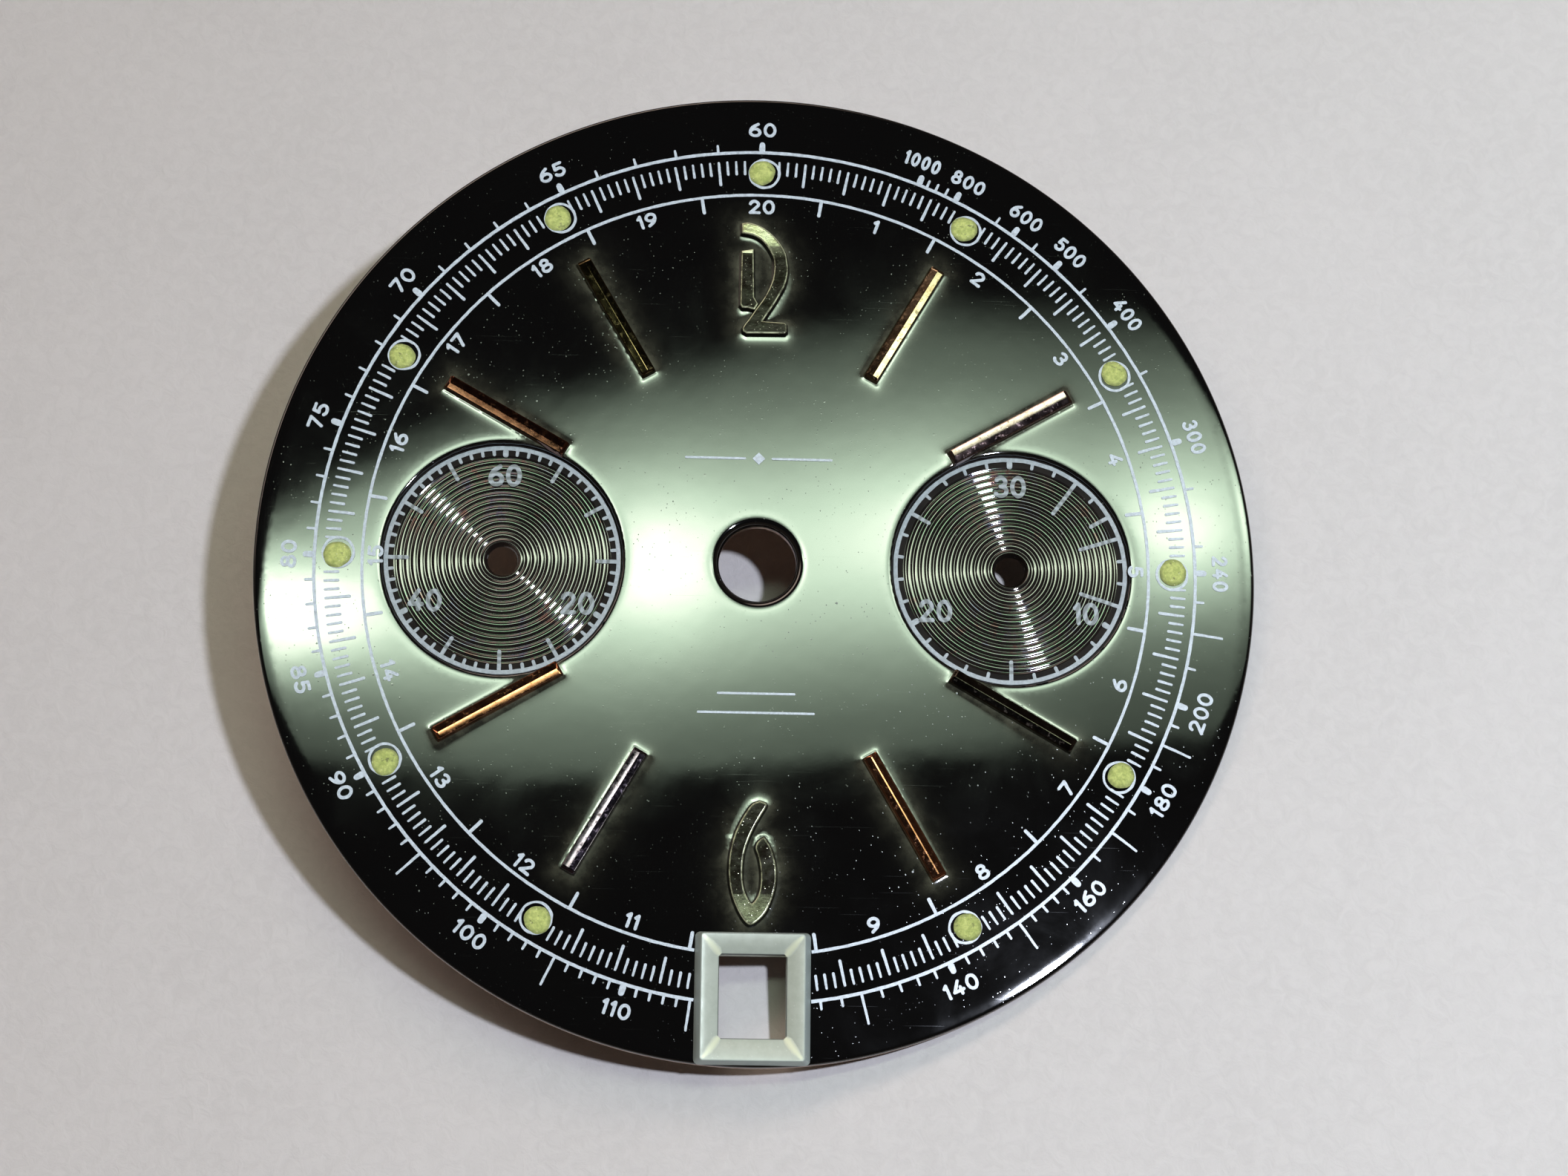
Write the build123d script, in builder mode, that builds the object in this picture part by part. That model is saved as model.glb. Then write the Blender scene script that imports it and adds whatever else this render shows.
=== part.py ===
from build123d import *
import math
import os

os.makedirs("parts", exist_ok=True)

# Two-register chronograph dial with a framed date window at 6 o'clock.
# Millimetres. Origin on the centre-hole axis in the plane of the back seat,
# +Z out of the dial face, +Y to 12 o'clock, +X to 3 o'clock.

# ---------------------------------------------------------------- dimensions
DIAL_R = 15.50            # outer radius of the dial
DOME_R = 562.0            # radius of the very shallow crown of the face
FACE_Z = 0.56             # face height on the axis
BACK_Z = 0.155            # back height on the axis; the back seat is z = 0
SEAT_R_IN = 13.20         # the flat seat ring of the back runs from here
RIM_ROUND = 0.10          # rounded front edge of the rim
RIM_BEVEL = 0.06          # small bevel of the back edge
CENTRE_HOLE_R = 1.20      # hole for the hour pipe and the chronograph hand
CENTRE_LIP_R = 0.20       # rounded lip of that hole

SUB_X = 7.87              # sub-dial axes lie at +X and -X
SUB_OPEN_R = 3.70         # opening in the plate
SUB_SEAT_R = 4.00         # rebate in the back of the plate
SUB_DISC_R = 3.98         # soldered disc
SUB_DISC_Z = 0.05         # underside of the disc
SUB_DISC_TOP = 0.27       # its dial side, which bears on the rebate
SUB_HOLE_R = 0.54         # hand hole of each sub-dial
GROOVE_PITCH = 0.20       # concentric turning of the sub-dial floors
GROOVE_DEPTH = 0.02
GROOVE_FIRST = 0.66
GROOVE_COUNT = 14

FOOT_ANGLES = {"dial_foot_a": 41.0, "dial_foot_b": 219.0}   # clockwise from 12
FOOT_ORBIT = 14.05
FOOT_R = 0.40
FOOT_LEN = 3.05
FOOT_BASE_R = 0.65
FOOT_BASE_T = 0.12

MARK_HOURS = [1, 2, 4, 5, 7, 8, 10, 11]
MARK_IN, MARK_OUT = 6.92, 11.26     # radial ends of a baton at its base
MARK_BASE_W = 0.50
MARK_TOP_W = 0.41
MARK_SHOULDER = 0.20
MARK_RIDGE = 0.275
MARK_PIN_ORBITS = (8.90, 10.60)
PIN_R = 0.13
PIN_HOLE_R = 0.14
PIN_END_Z = 0.03

NUMERAL_H = 0.25
NUMERAL_PINS = {"numeral_12": [(-0.44, 9.40), (0.60, 9.20)],
                "numeral_6": [(-0.55, -9.30), (0.42, -9.60)]}

DATE_Y = -13.45                     # centre of the date frame
WINDOW_UP = 0.05                    # the window sits this much above it
FRAME_BASE = (3.48, 3.96)
FRAME_TOP = (3.12, 3.78)
FRAME_OPEN = (2.02, 2.50)
FRAME_H = 0.42                      # outer crest above the plate
FRAME_LIP_H = 0.12                  # inner edge above the plate
FRAME_CORNER = 0.15                 # rounded upright corners
SKIRT_WALL = 0.10                   # the frame's skirt goes through the plate
SKIRT_LEN = 0.34
WINDOW_GAP = 0.02

DOT_HOURS = [12, 1, 2, 3, 4, 5, 7, 8, 9, 10, 11]
DOT_ORBIT = 12.93
DOT_R = 0.42
DOT_H = 0.11
RING_R_IN, RING_R_OUT = 0.435, 0.53     # printed circle round each dot

INK_T = 0.02
INK_LIFT = 0.001          # keeps the film off the surface it lies on
OUTER_RING_R = 13.63
INNER_RING_R = 12.16
RING_W = 0.10
TRACK_OUT = 13.34
TRACK_SHORT_IN = 12.85
TRACK_LONG_IN = 12.51
TRACK_W = 0.085
TACHY_TICK_OUT = 13.94
TACHY_LONG_OUT = 14.60
TACHY_BOLD_W = 0.20
TACHY_TEXT_R = 14.42
TACHY_TEXT_H = 0.46
TEXT_STROKE = 0.085
DECIMAL_TICK_IN = 11.60
DECIMAL_TEXT_R = 11.77
DECIMAL_TEXT_H = 0.45
SUB_RING_R = 3.58
SUB_RING_W = 0.13
SUB_TEXT_H = 0.70
SUB_TEXT_STROKE = 0.13


def face_z(r):
    """Height of the crowned face at a radius from the axis."""
    return FACE_Z - (DOME_R - math.sqrt(DOME_R**2 - r**2))


def back_z(r):
    return BACK_Z - (DOME_R - math.sqrt(DOME_R**2 - r**2))


def clock(r, deg):
    """A point at a radius and a clock angle, clockwise from 12."""
    a = math.radians(deg)
    return (r * math.sin(a), r * math.cos(a))


def face_plane(x, y):
    """Tangent plane of the crowned face: local y points away from the axis."""
    r = math.hypot(x, y)
    n = Vector(x, y, face_z(r) - (FACE_Z - DOME_R)).normalized()
    out = Vector(x, y, 0).normalized()
    side = Vector(out.Y, -out.X, 0)
    return Plane(origin=(x, y, face_z(r)), x_dir=side, z_dir=n)


def upright_plane(y):
    """Tangent plane on the 12 to 6 line, with local x towards 3 o'clock."""
    n = Vector(0, y, face_z(abs(y)) - (FACE_Z - DOME_R)).normalized()
    return Plane(origin=(0, y, face_z(abs(y))), x_dir=(1, 0, 0), z_dir=n)


def on_face(x, y, turn=0.0):
    return face_plane(x, y).location * Location((0, 0, INK_LIFT), (0, 0, turn))


# ------------------------------------------------- single-stroke digit shapes
def curve(cx, cy, rx, ry, a0, a1, n):
    return [(cx + rx * math.cos(math.radians(a0 + (a1 - a0) * k / n)),
             cy + ry * math.sin(math.radians(a0 + (a1 - a0) * k / n))) for k in range(n + 1)]


DIGITS = {     # open strokes and closed loops on a unit-high grid, and the width
    "0": ([], [curve(0.30, 0.5, 0.30, 0.5, 0, 360, 16)], 0.60),
    "1": ([[(0.0, 0.80), (0.17, 1.0)], [(0.17, 1.0), (0.17, 0.0)]], [], 0.20),
    "2": ([curve(0.29, 0.72, 0.27, 0.28, 170, -30, 8) + [(0.0, 0.0)], [(0.0, 0.0), (0.60, 0.0)]], [], 0.60),
    "3": ([curve(0.28, 0.76, 0.24, 0.24, 150, -90, 8), curve(0.28, 0.26, 0.30, 0.26, 90, -150, 8)], [], 0.58),
    "4": ([[(0.44, 1.0), (0.0, 0.28)], [(0.0, 0.28), (0.62, 0.28)], [(0.45, 0.52), (0.45, 0.0)]], [], 0.62),
    "5": ([[(0.54, 1.0), (0.12, 1.0)], [(0.12, 1.0), (0.07, 0.56)], curve(0.28, 0.31, 0.30, 0.31, 125, -150, 8)], [], 0.58),
    "6": ([[(0.50, 0.99)] + curve(0.55, 0.30, 0.55, 0.62, 118, 176, 4)], [curve(0.30, 0.29, 0.30, 0.29, 0, 360, 12)], 0.60),
    "7": ([[(0.0, 1.0), (0.57, 1.0)], [(0.57, 1.0), (0.20, 0.0)]], [], 0.57),
    "8": ([], [curve(0.30, 0.76, 0.23, 0.24, 0, 360, 12), curve(0.30, 0.26, 0.30, 0.26, 0, 360, 12)], 0.60),
    "9": ([[(0.10, 0.01)] + curve(0.05, 0.70, 0.55, 0.62, -62, -4, 4)], [curve(0.30, 0.71, 0.30, 0.29, 0, 360, 12)], 0.60),
}


def outline(points, half):
    """Closed outline of a round-ended stroke along points."""
    def unit(a, b):
        d = math.hypot(b[0] - a[0], b[1] - a[1])
        return ((b[0] - a[0]) / d, (b[1] - a[1]) / d)

    def side(path):
        row = []
        for k, p in enumerate(path):
            u = unit(path[max(k - 1, 0)], path[max(k, 1)])
            v = unit(path[min(k, len(path) - 2)], path[min(k + 1, len(path) - 1)])
            t = (u[0] + v[0], u[1] + v[1])
            m = math.hypot(*t)
            t = (t[0] / m, t[1] / m)
            c = max(0.45, t[0] * u[0] + t[1] * u[1])
            row.append((p[0] - t[1] * half / c, p[1] + t[0] * half / c))
        return row

    def cap(a, b):
        u = unit(a, b)
        base = math.atan2(u[1], u[0])
        return [(b[0] + half * math.cos(base + math.radians(g)), b[1] + half * math.sin(base + math.radians(g)))
                for g in (50, 0, -50)]

    left = side(points)
    right = side(points[::-1])
    return left + cap(points[-2], points[-1]) + right + cap(points[1], points[0])


def loop_offset(points, half):
    ring = points[:-1]
    out = []
    for k, p in enumerate(ring):
        a, b = ring[k - 1], ring[(k + 1) % len(ring)]
        d = math.hypot(b[0] - a[0], b[1] - a[1])
        out.append((p[0] + (b[1] - a[1]) / d * half, p[1] - (b[0] - a[0]) / d * half))
    return out


def closed(points):
    return Wire.make_polygon([Vector(x, y, 0) for x, y in points], close=True)


def digit_sketch(char, height, stroke, narrow=1.0):
    """One digit as a sketch standing on y = 0, with its width."""
    opens, loops, width = DIGITS[char]
    tall, half = height - stroke, stroke / 2
    wide = tall * 1.16 * narrow

    def place(path):
        return [(half + x * wide, half + y * tall) for x, y in path]

    with BuildSketch() as shape:
        for path in loops:
            path = place(path)
            add(Face(closed(loop_offset(path, half)), [closed(loop_offset(path, -half))]))
        for path in opens:
            add(Face(closed(outline(place(path), half))))
    return shape.sketch, width * wide + stroke


GLYPHS = {}


def glyph(char, height, stroke, narrow):
    """One printed digit as a thin solid, with its width."""
    key = (char, height, stroke, narrow)
    if key not in GLYPHS:
        flat, width = digit_sketch(char, height, stroke, narrow)
        GLYPHS[key] = (extrude(flat, amount=INK_T), width)
    return GLYPHS[key]


def round_number(text, radius, deg, height, stroke, tops_out, narrow=1.0, gap=0.08):
    """The digits of a number set round the dial, each on its tangent plane."""
    parts = [glyph(c, height, stroke, narrow) for c in text]
    x = -(sum(w for _, w in parts) + gap * (len(parts) - 1)) / 2
    placed = []
    for solid, w in parts:
        px, py = clock(radius, deg + math.degrees((x + w / 2) / radius) * (1 if tops_out else -1))
        spot = on_face(px, py, 0 if tops_out else 180) * Location((-w / 2, -height / 2, 0))
        placed += solid.moved(spot).solids()
        x += w + gap
    return placed


def flat_number(cx, text, deg, orbit):
    """An upright number on a sub-dial."""
    px, py = clock(orbit, deg)
    parts = [glyph(c, SUB_TEXT_H, SUB_TEXT_STROKE, 0.86) for c in text]
    x = cx + px - (sum(w for _, w in parts) + 0.05 * (len(parts) - 1)) / 2
    placed = []
    for solid, w in parts:
        placed += solid.moved(Location((x, py - SUB_TEXT_H / 2, SUB_DISC_TOP + INK_LIFT))).solids()
        x += w + 0.05
    return placed


BARS = {}


def bar(length, width):
    """A printed stroke along local y."""
    key = (round(length, 4), width)
    if key not in BARS:
        BARS[key] = extrude(Rectangle(width, length), amount=INK_T)
    return BARS[key]


def tick(r_in, r_out, deg, width):
    x, y = clock((r_in + r_out) / 2, deg)
    return bar(r_out - r_in, width).moved(on_face(x, y)).solids()


def flat_tick(cx, r_in, r_out, deg, width):
    x, y = clock((r_in + r_out) / 2, deg)
    return bar(r_out - r_in, width).moved(Location((cx + x, y, SUB_DISC_TOP + INK_LIFT), (0, 0, -deg))).solids()


# ------------------------------------------------------------------ the plate
pin_points = [clock(r, 30 * h) for h in MARK_HOURS for r in MARK_PIN_ORBITS]
pin_points += [p for pins in NUMERAL_PINS.values() for p in pins]
skirt = (FRAME_OPEN[0] + 2 * SKIRT_WALL, FRAME_OPEN[1] + 2 * SKIRT_WALL)

with BuildPart() as dial_plate:
    with BuildSketch(Plane.XZ):
        with BuildLine():
            ri, ro = CENTRE_HOLE_R, DIAL_R
            li, lo = ri + CENTRE_LIP_R, ro - RIM_ROUND
            k = 1 - math.sqrt(0.5)
            ThreePointArc((ri, back_z(ri)), (SEAT_R_IN / 2, back_z(SEAT_R_IN / 2)), (SEAT_R_IN, 0))
            Polyline((SEAT_R_IN, 0), (ro - RIM_BEVEL, 0), (ro, RIM_BEVEL), (ro, face_z(lo) - RIM_ROUND))
            ThreePointArc((ro, face_z(lo) - RIM_ROUND), (ro - k * RIM_ROUND, face_z(lo) - k * RIM_ROUND), (lo, face_z(lo)))
            ThreePointArc((lo, face_z(lo)), (DIAL_R / 2, face_z(DIAL_R / 2)), (li, face_z(li)))
            ThreePointArc((li, face_z(li)), (ri + k * CENTRE_LIP_R, face_z(li) - k * CENTRE_LIP_R), (ri, face_z(li) - CENTRE_LIP_R))
            Line((ri, face_z(li) - CENTRE_LIP_R), (ri, back_z(ri)))
        make_face()
    revolve(axis=Axis.Z)
    # sub-dial openings, with a rebate in the back for each soldered disc
    with BuildSketch(Plane.XY.offset(-1)):
        with Locations((-SUB_X, 0), (SUB_X, 0)):
            Circle(SUB_OPEN_R)
    extrude(amount=3, mode=Mode.SUBTRACT)
    with BuildSketch(Plane.XY.offset(-1)):
        with Locations((-SUB_X, 0), (SUB_X, 0)):
            Circle(SUB_SEAT_R)
    extrude(amount=1 + SUB_DISC_TOP, mode=Mode.SUBTRACT)
    # date window and the pin holes of the applied markers
    with BuildSketch(Plane.XY.offset(-1)):
        with Locations((0, DATE_Y + WINDOW_UP)):
            Rectangle(skirt[0] + 2 * WINDOW_GAP, skirt[1] + 2 * WINDOW_GAP)
        with Locations(*pin_points):
            Circle(PIN_HOLE_R)
    extrude(amount=3, mode=Mode.SUBTRACT)
dial_plate.part.label = "dial_plate"
export_step(dial_plate.part, "parts/dial_plate.step")

# ------------------------------------------------------------------ dial feet
for foot_name, angle in FOOT_ANGLES.items():
    fx, fy = clock(FOOT_ORBIT, angle)
    with BuildPart() as dial_foot:
        with BuildSketch(Plane.XY):
            with Locations((fx, fy)):
                Circle(FOOT_BASE_R)
        with BuildSketch(Plane.XY.offset(-FOOT_BASE_T)):
            with Locations((fx, fy)):
                Circle(FOOT_R)
        loft()
        with BuildSketch(Plane.XY.offset(-FOOT_BASE_T)):
            with Locations((fx, fy)):
                Circle(FOOT_R)
        extrude(amount=-(FOOT_LEN - FOOT_BASE_T))
        chamfer(dial_foot.edges().filter_by(GeomType.CIRCLE).sort_by(Axis.Z)[0], length=0.08)
    dial_foot.part.label = foot_name
    export_step(dial_foot.part, f"parts/{foot_name}.step")

# ------------------------------------------------------------- sub-dial discs
for disc_name, cx in (("seconds_subdial_disc", -SUB_X), ("minutes_subdial_disc", SUB_X)):
    with BuildPart() as subdial_disc:
        with BuildSketch(Plane(origin=(cx, 0, 0), x_dir=(1, 0, 0), z_dir=(0, -1, 0))):
            with BuildLine():
                top = [(SUB_HOLE_R, SUB_DISC_TOP)]
                for k in range(GROOVE_COUNT):
                    r = GROOVE_FIRST + k * GROOVE_PITCH
                    top += [(r, SUB_DISC_TOP), (r + 0.07, SUB_DISC_TOP - GROOVE_DEPTH), (r + 0.14, SUB_DISC_TOP)]
                top += [(SUB_DISC_R, SUB_DISC_TOP)]
                Polyline(*top, (SUB_DISC_R, SUB_DISC_Z), (SUB_HOLE_R, SUB_DISC_Z), close=True)
            make_face()
        revolve(axis=Axis((cx, 0, 0), (0, 0, 1)))
    subdial_disc.part.label = disc_name
    export_step(subdial_disc.part, f"parts/{disc_name}.step")

# ------------------------------------------------------ applied baton markers
length = MARK_OUT - MARK_IN
for h in MARK_HOURS:
    p = face_plane(*clock((MARK_IN + MARK_OUT) / 2, 30 * h))
    with BuildPart() as hour_marker:
        with BuildSketch(Plane(origin=p.origin + p.y_dir * (length / 2), x_dir=p.x_dir, z_dir=-p.y_dir)):
            with BuildLine():
                Polyline((-MARK_BASE_W / 2, 0), (MARK_BASE_W / 2, 0), (MARK_TOP_W / 2, MARK_SHOULDER),
                         (0, MARK_RIDGE), (-MARK_TOP_W / 2, MARK_SHOULDER), close=True)
            make_face()
        extrude(amount=length)
        with BuildSketch(Plane(origin=p.origin - p.x_dir * 1.0, x_dir=p.y_dir, z_dir=p.x_dir)):
            with BuildLine():
                e = length / 2
                Polyline((-e, 0), (e, 0), (e - 0.05, MARK_SHOULDER), (e - 0.14, MARK_RIDGE + 0.01),
                         (-e + 0.14, MARK_RIDGE + 0.01), (-e + 0.05, MARK_SHOULDER), close=True)
            make_face()
        extrude(amount=2.0, mode=Mode.INTERSECT)
        with BuildSketch(Plane.XY.offset(PIN_END_Z)):
            with Locations(*[clock(r, 30 * h) for r in MARK_PIN_ORBITS]):
                Circle(PIN_R)
        extrude(amount=face_z(9.0) + 0.08 - PIN_END_Z)
    hour_marker.part.label = f"hour_marker_{h}"
    export_step(hour_marker.part, f"parts/hour_marker_{h}.step")

# ------------------------------------------------------------ applied numerals
BIG_TWO_OUTER = [(-0.43, 11.12), (-0.14, 11.05), (0.16, 10.89), (0.45, 10.62), (0.645, 10.35), (0.76, 10.10),
                 (0.81, 9.82), (0.84, 9.60), (0.82, 9.36), (0.745, 9.05), (0.61, 8.78), (0.45, 8.48),
                 (0.29, 8.20), (0.09, 7.88)]
BIG_TWO_INNER = [(-0.36, 7.88), (-0.16, 8.20), (0.07, 8.54), (0.23, 8.84), (0.355, 9.17), (0.405, 9.42),
                 (0.42, 9.70), (0.39, 9.96), (0.29, 10.19), (0.13, 10.44), (-0.06, 10.62), (-0.31, 10.73)]
SIX_OUTER = [(0.08, -7.58), (-0.08, -7.66), (-0.32, -7.95), (-0.48, -8.25), (-0.61, -8.57), (-0.71, -8.96),
             (-0.765, -9.35), (-0.77, -9.73), (-0.725, -10.12), (-0.645, -10.44), (-0.515, -10.77), (-0.35, -11.06),
             (-0.20, -11.24), (-0.09, -11.28), (0.04, -11.23), (0.27, -11.02), (0.425, -10.77), (0.555, -10.44),
             (0.64, -10.12), (0.665, -9.80), (0.65, -9.48), (0.575, -9.15), (0.48, -8.89), (0.31, -8.62)]
SIX_LOOP_IN = [(0.17, -8.66), (0.065, -8.80), (0.03, -8.96), (0.10, -9.15), (0.165, -9.41), (0.205, -9.73),
               (0.195, -10.06), (0.15, -10.31), (0.07, -10.49), (-0.06, -10.64)]
SIX_STEM_IN = [(-0.06, -10.64), (-0.17, -10.51), (-0.28, -10.28), (-0.345, -9.99), (-0.36, -9.64), (-0.34, -9.31),
               (-0.29, -9.02), (-0.165, -8.64), (0.0, -8.28), (0.19, -7.93), (0.355, -7.65)]

MID_12, MID_6 = 9.30, -9.43          # where each numeral's own plane touches


def shift(points, mid):
    return [(x, y - mid) for x, y in points]


with BuildPart() as numeral_12:
    with BuildSketch(upright_plane(MID_12)):
        with BuildLine():
            Polyline(*shift([(-0.63, 10.77), (-0.63, 11.12), (-0.43, 11.12)], MID_12))
            Spline(*shift(BIG_TWO_OUTER, MID_12))
            Polyline(*shift([(0.09, 7.88), (0.09, 7.77), (0.74, 7.77), (0.84, 7.70), (0.84, 7.48), (0.76, 7.41),
                             (-0.48, 7.41), (-0.58, 7.48), (-0.58, 7.58), (-0.36, 7.88)], MID_12))
            Spline(*shift(BIG_TWO_INNER, MID_12))
            Line((-0.31, 10.73 - MID_12), (-0.63, 10.77 - MID_12))
        make_face()
        with BuildLine():
            Polyline(*shift([(-0.64, 10.20), (-0.24, 10.26), (-0.22, 8.60), (-0.04, 8.33), (-0.20, 8.13),
                             (-0.42, 8.25), (-0.61, 8.25), (-0.65, 8.34)], MID_12), close=True)
        make_face()
    extrude(amount=NUMERAL_H)
    with BuildSketch(Plane.XY.offset(PIN_END_Z)):
        with Locations(*NUMERAL_PINS["numeral_12"]):
            Circle(PIN_R)
    extrude(amount=face_z(9.3) + 0.1 - PIN_END_Z)
numeral_12.part.label = "numeral_12"
export_step(numeral_12.part, "parts/numeral_12.step")

with BuildPart() as numeral_6:
    with BuildSketch(upright_plane(MID_6)):
        with BuildLine():
            Spline(*shift(SIX_OUTER, MID_6))
            Polyline(*shift([SIX_OUTER[-1], SIX_LOOP_IN[0]], MID_6))
            Spline(*shift(SIX_LOOP_IN, MID_6))
            Spline(*shift(SIX_STEM_IN, MID_6))
            Polyline(*shift([SIX_STEM_IN[-1], (0.35, -7.56), (0.24, -7.52), SIX_OUTER[0]], MID_6))
        make_face()
    extrude(amount=NUMERAL_H)
    with BuildSketch(Plane.XY.offset(PIN_END_Z)):
        with Locations(*NUMERAL_PINS["numeral_6"]):
            Circle(PIN_R)
    extrude(amount=face_z(9.3) + 0.1 - PIN_END_Z)
numeral_6.part.label = "numeral_6"
export_step(numeral_6.part, "parts/numeral_6.step")

# ----------------------------------------------------------------- date frame
seat = upright_plane(DATE_Y)
with BuildPart() as date_frame:
    with BuildSketch(seat):
        RectangleRounded(*FRAME_BASE, FRAME_CORNER)
    with BuildSketch(seat.offset(FRAME_H)):
        RectangleRounded(*FRAME_TOP, FRAME_CORNER * 0.6)
    loft()
    # the inner bevel runs from the crest down to the edge of the opening
    with BuildSketch(seat.offset(FRAME_LIP_H)):
        with Locations((0, WINDOW_UP)):
            Rectangle(*FRAME_OPEN)
    with BuildSketch(seat.offset(FRAME_H)):
        Rectangle(FRAME_TOP[0] - 0.10, FRAME_TOP[1] - 0.10)
    loft(mode=Mode.SUBTRACT)
    with BuildSketch(seat.offset(0.05)):
        with Locations((0, WINDOW_UP)):
            Rectangle(*skirt)
    extrude(amount=-(SKIRT_LEN + 0.05))
    with BuildSketch(seat.offset(-1)):
        with Locations((0, WINDOW_UP)):
            Rectangle(*FRAME_OPEN)
    extrude(amount=3, mode=Mode.SUBTRACT)
date_frame.part.label = "date_frame"
export_step(date_frame.part, "parts/date_frame.step")

# ----------------------------------------------------------------- lume dots
DOT_EDGE = 0.03
ball = (DOT_R**2 + (DOT_H - DOT_EDGE)**2) / (2 * (DOT_H - DOT_EDGE))
half_angle = math.asin(DOT_R / ball) / 2
for h in DOT_HOURS:
    p = face_plane(*clock(DOT_ORBIT, 30 * h))
    with BuildPart() as lume_dot:
        with BuildSketch(Plane(origin=p.origin, x_dir=p.x_dir, z_dir=-p.y_dir)):
            with BuildLine():
                Polyline((0, DOT_H), (0, 0), (DOT_R, 0), (DOT_R, DOT_EDGE))
                ThreePointArc((DOT_R, DOT_EDGE), (ball * math.sin(half_angle), DOT_H - ball * (1 - math.cos(half_angle))),
                              (0, DOT_H))
            make_face()
        revolve(axis=Axis(p.origin, p.z_dir))
    lume_dot.part.label = f"lume_dot_{h}"
    export_step(lume_dot.part, f"parts/lume_dot_{h}.step")


# -------------------------------------------------------------------- prints
# Strokes stop a hair short of the rings, so that no two solids touch.
HAIR = 0.004
TACHY_NUMBERS = [60, 65, 70, 75, 80, 85, 90, 100, 110, 140, 160, 180, 200, 240, 300, 400, 500, 600, 800, 1000]
TACHY_SHORT = ([n for n in range(61, 100) if n % 5] + [n for n in range(101, 115) if n % 5]
               + [126, 128, 132, 134, 136, 138, 142, 144, 146, 148, 152, 154, 156, 158, 165, 175, 185, 195, 210, 230,
                  250, 275, 350, 450, 550, 650, 850, 900, 950])
TACHY_LONG = [95, 105, 115, 130, 150, 170, 190, 220]


def face_ring(radius, width, break_half):
    """Ring on the crowned face, broken at 6 o'clock by the date frame."""
    gap = math.asin(break_half / radius)
    c, d = math.cos(-math.pi / 2 + gap), math.sin(-math.pi / 2 + gap)
    r0, r1 = radius - width / 2, radius + width / 2
    corners = [(r0, face_z(r0) + INK_LIFT), (r1, face_z(r1) + INK_LIFT), (r1, face_z(r1) + INK_T), (r0, face_z(r0) + INK_T)]
    profile = Face(Wire.make_polygon([Vector(r * c, r * d, z) for r, z in corners], close=True))
    return revolve(profile, axis=Axis.Z, revolution_arc=360 - 2 * math.degrees(gap))


break_half = FRAME_BASE[0] / 2 + 0.02
edge_out = OUTER_RING_R + RING_W / 2 + HAIR
strokes = []
for n in TACHY_SHORT:
    strokes += tick(edge_out, TACHY_TICK_OUT - 0.01, 21600 / n, TRACK_W)
for n in TACHY_LONG:
    strokes += tick(edge_out, TACHY_LONG_OUT, 21600 / n, TRACK_W)
for n in TACHY_NUMBERS:
    strokes += tick(edge_out, TACHY_TICK_OUT + 0.05, 21600 / n, TACHY_BOLD_W)
strokes += face_ring(OUTER_RING_R, RING_W, break_half).solids()
with BuildPart() as tachymeter_scale_print:
    add(strokes, clean=False)
tachymeter_scale_print.part.label = "tachymeter_scale_print"
export_step(tachymeter_scale_print.part, "parts/tachymeter_scale_print.step")

digits = []
for n in TACHY_NUMBERS:
    deg = 21600 / n % 360
    wide = 0.72 if n == 1000 else 0.90 if n >= 240 else 1.0
    digits += round_number(str(n), TACHY_TEXT_R, deg, TACHY_TEXT_H, TEXT_STROKE, deg <= 91 or deg >= 269, wide, 0.07)
with BuildPart() as tachymeter_numbers_print:
    add(digits, clean=False)
tachymeter_numbers_print.part.label = "tachymeter_numbers_print"
export_step(tachymeter_numbers_print.part, "parts/tachymeter_numbers_print.step")

strokes = []
for k in range(300):
    deg = k * 1.2
    off = (deg + 15) % 30 - 15
    x, y = clock(TRACK_SHORT_IN, deg)
    if (abs(off) < 1.3 and k != 150) or (y < 0 and abs(x) < FRAME_BASE[0] / 2 + 0.06):
        continue
    strokes += tick(TRACK_LONG_IN if k % 5 == 0 else TRACK_SHORT_IN, TRACK_OUT, deg, TRACK_W)
with BuildPart() as seconds_track_print:
    for h in DOT_HOURS:
        with BuildSketch(face_plane(*clock(DOT_ORBIT, 30 * h)).offset(INK_LIFT)):
            Circle(RING_R_OUT)
            Circle(RING_R_IN, mode=Mode.SUBTRACT)
    extrude(amount=INK_T)
    add(strokes, clean=False)
seconds_track_print.part.label = "seconds_track_print"
export_step(seconds_track_print.part, "parts/seconds_track_print.step")

strokes = []
for k in range(20):
    strokes += tick(DECIMAL_TICK_IN, INNER_RING_R - RING_W / 2 - HAIR, 9 + 18 * k, RING_W)
strokes += face_ring(INNER_RING_R, RING_W, break_half).solids()
with BuildPart() as decimal_scale_print:
    add(strokes, clean=False)
decimal_scale_print.part.label = "decimal_scale_print"
export_step(decimal_scale_print.part, "parts/decimal_scale_print.step")

digits = []
for k in range(1, 21):
    if k == 10:                      # the date frame takes the place of this one
        continue
    deg = 18 * k % 360
    digits += round_number(str(k), DECIMAL_TEXT_R, deg, DECIMAL_TEXT_H, TEXT_STROKE, deg <= 91 or deg >= 269, 0.95, 0.07)
with BuildPart() as decimal_numbers_print:
    add(digits, clean=False)
decimal_numbers_print.part.label = "decimal_numbers_print"
export_step(decimal_numbers_print.part, "parts/decimal_numbers_print.step")

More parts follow.
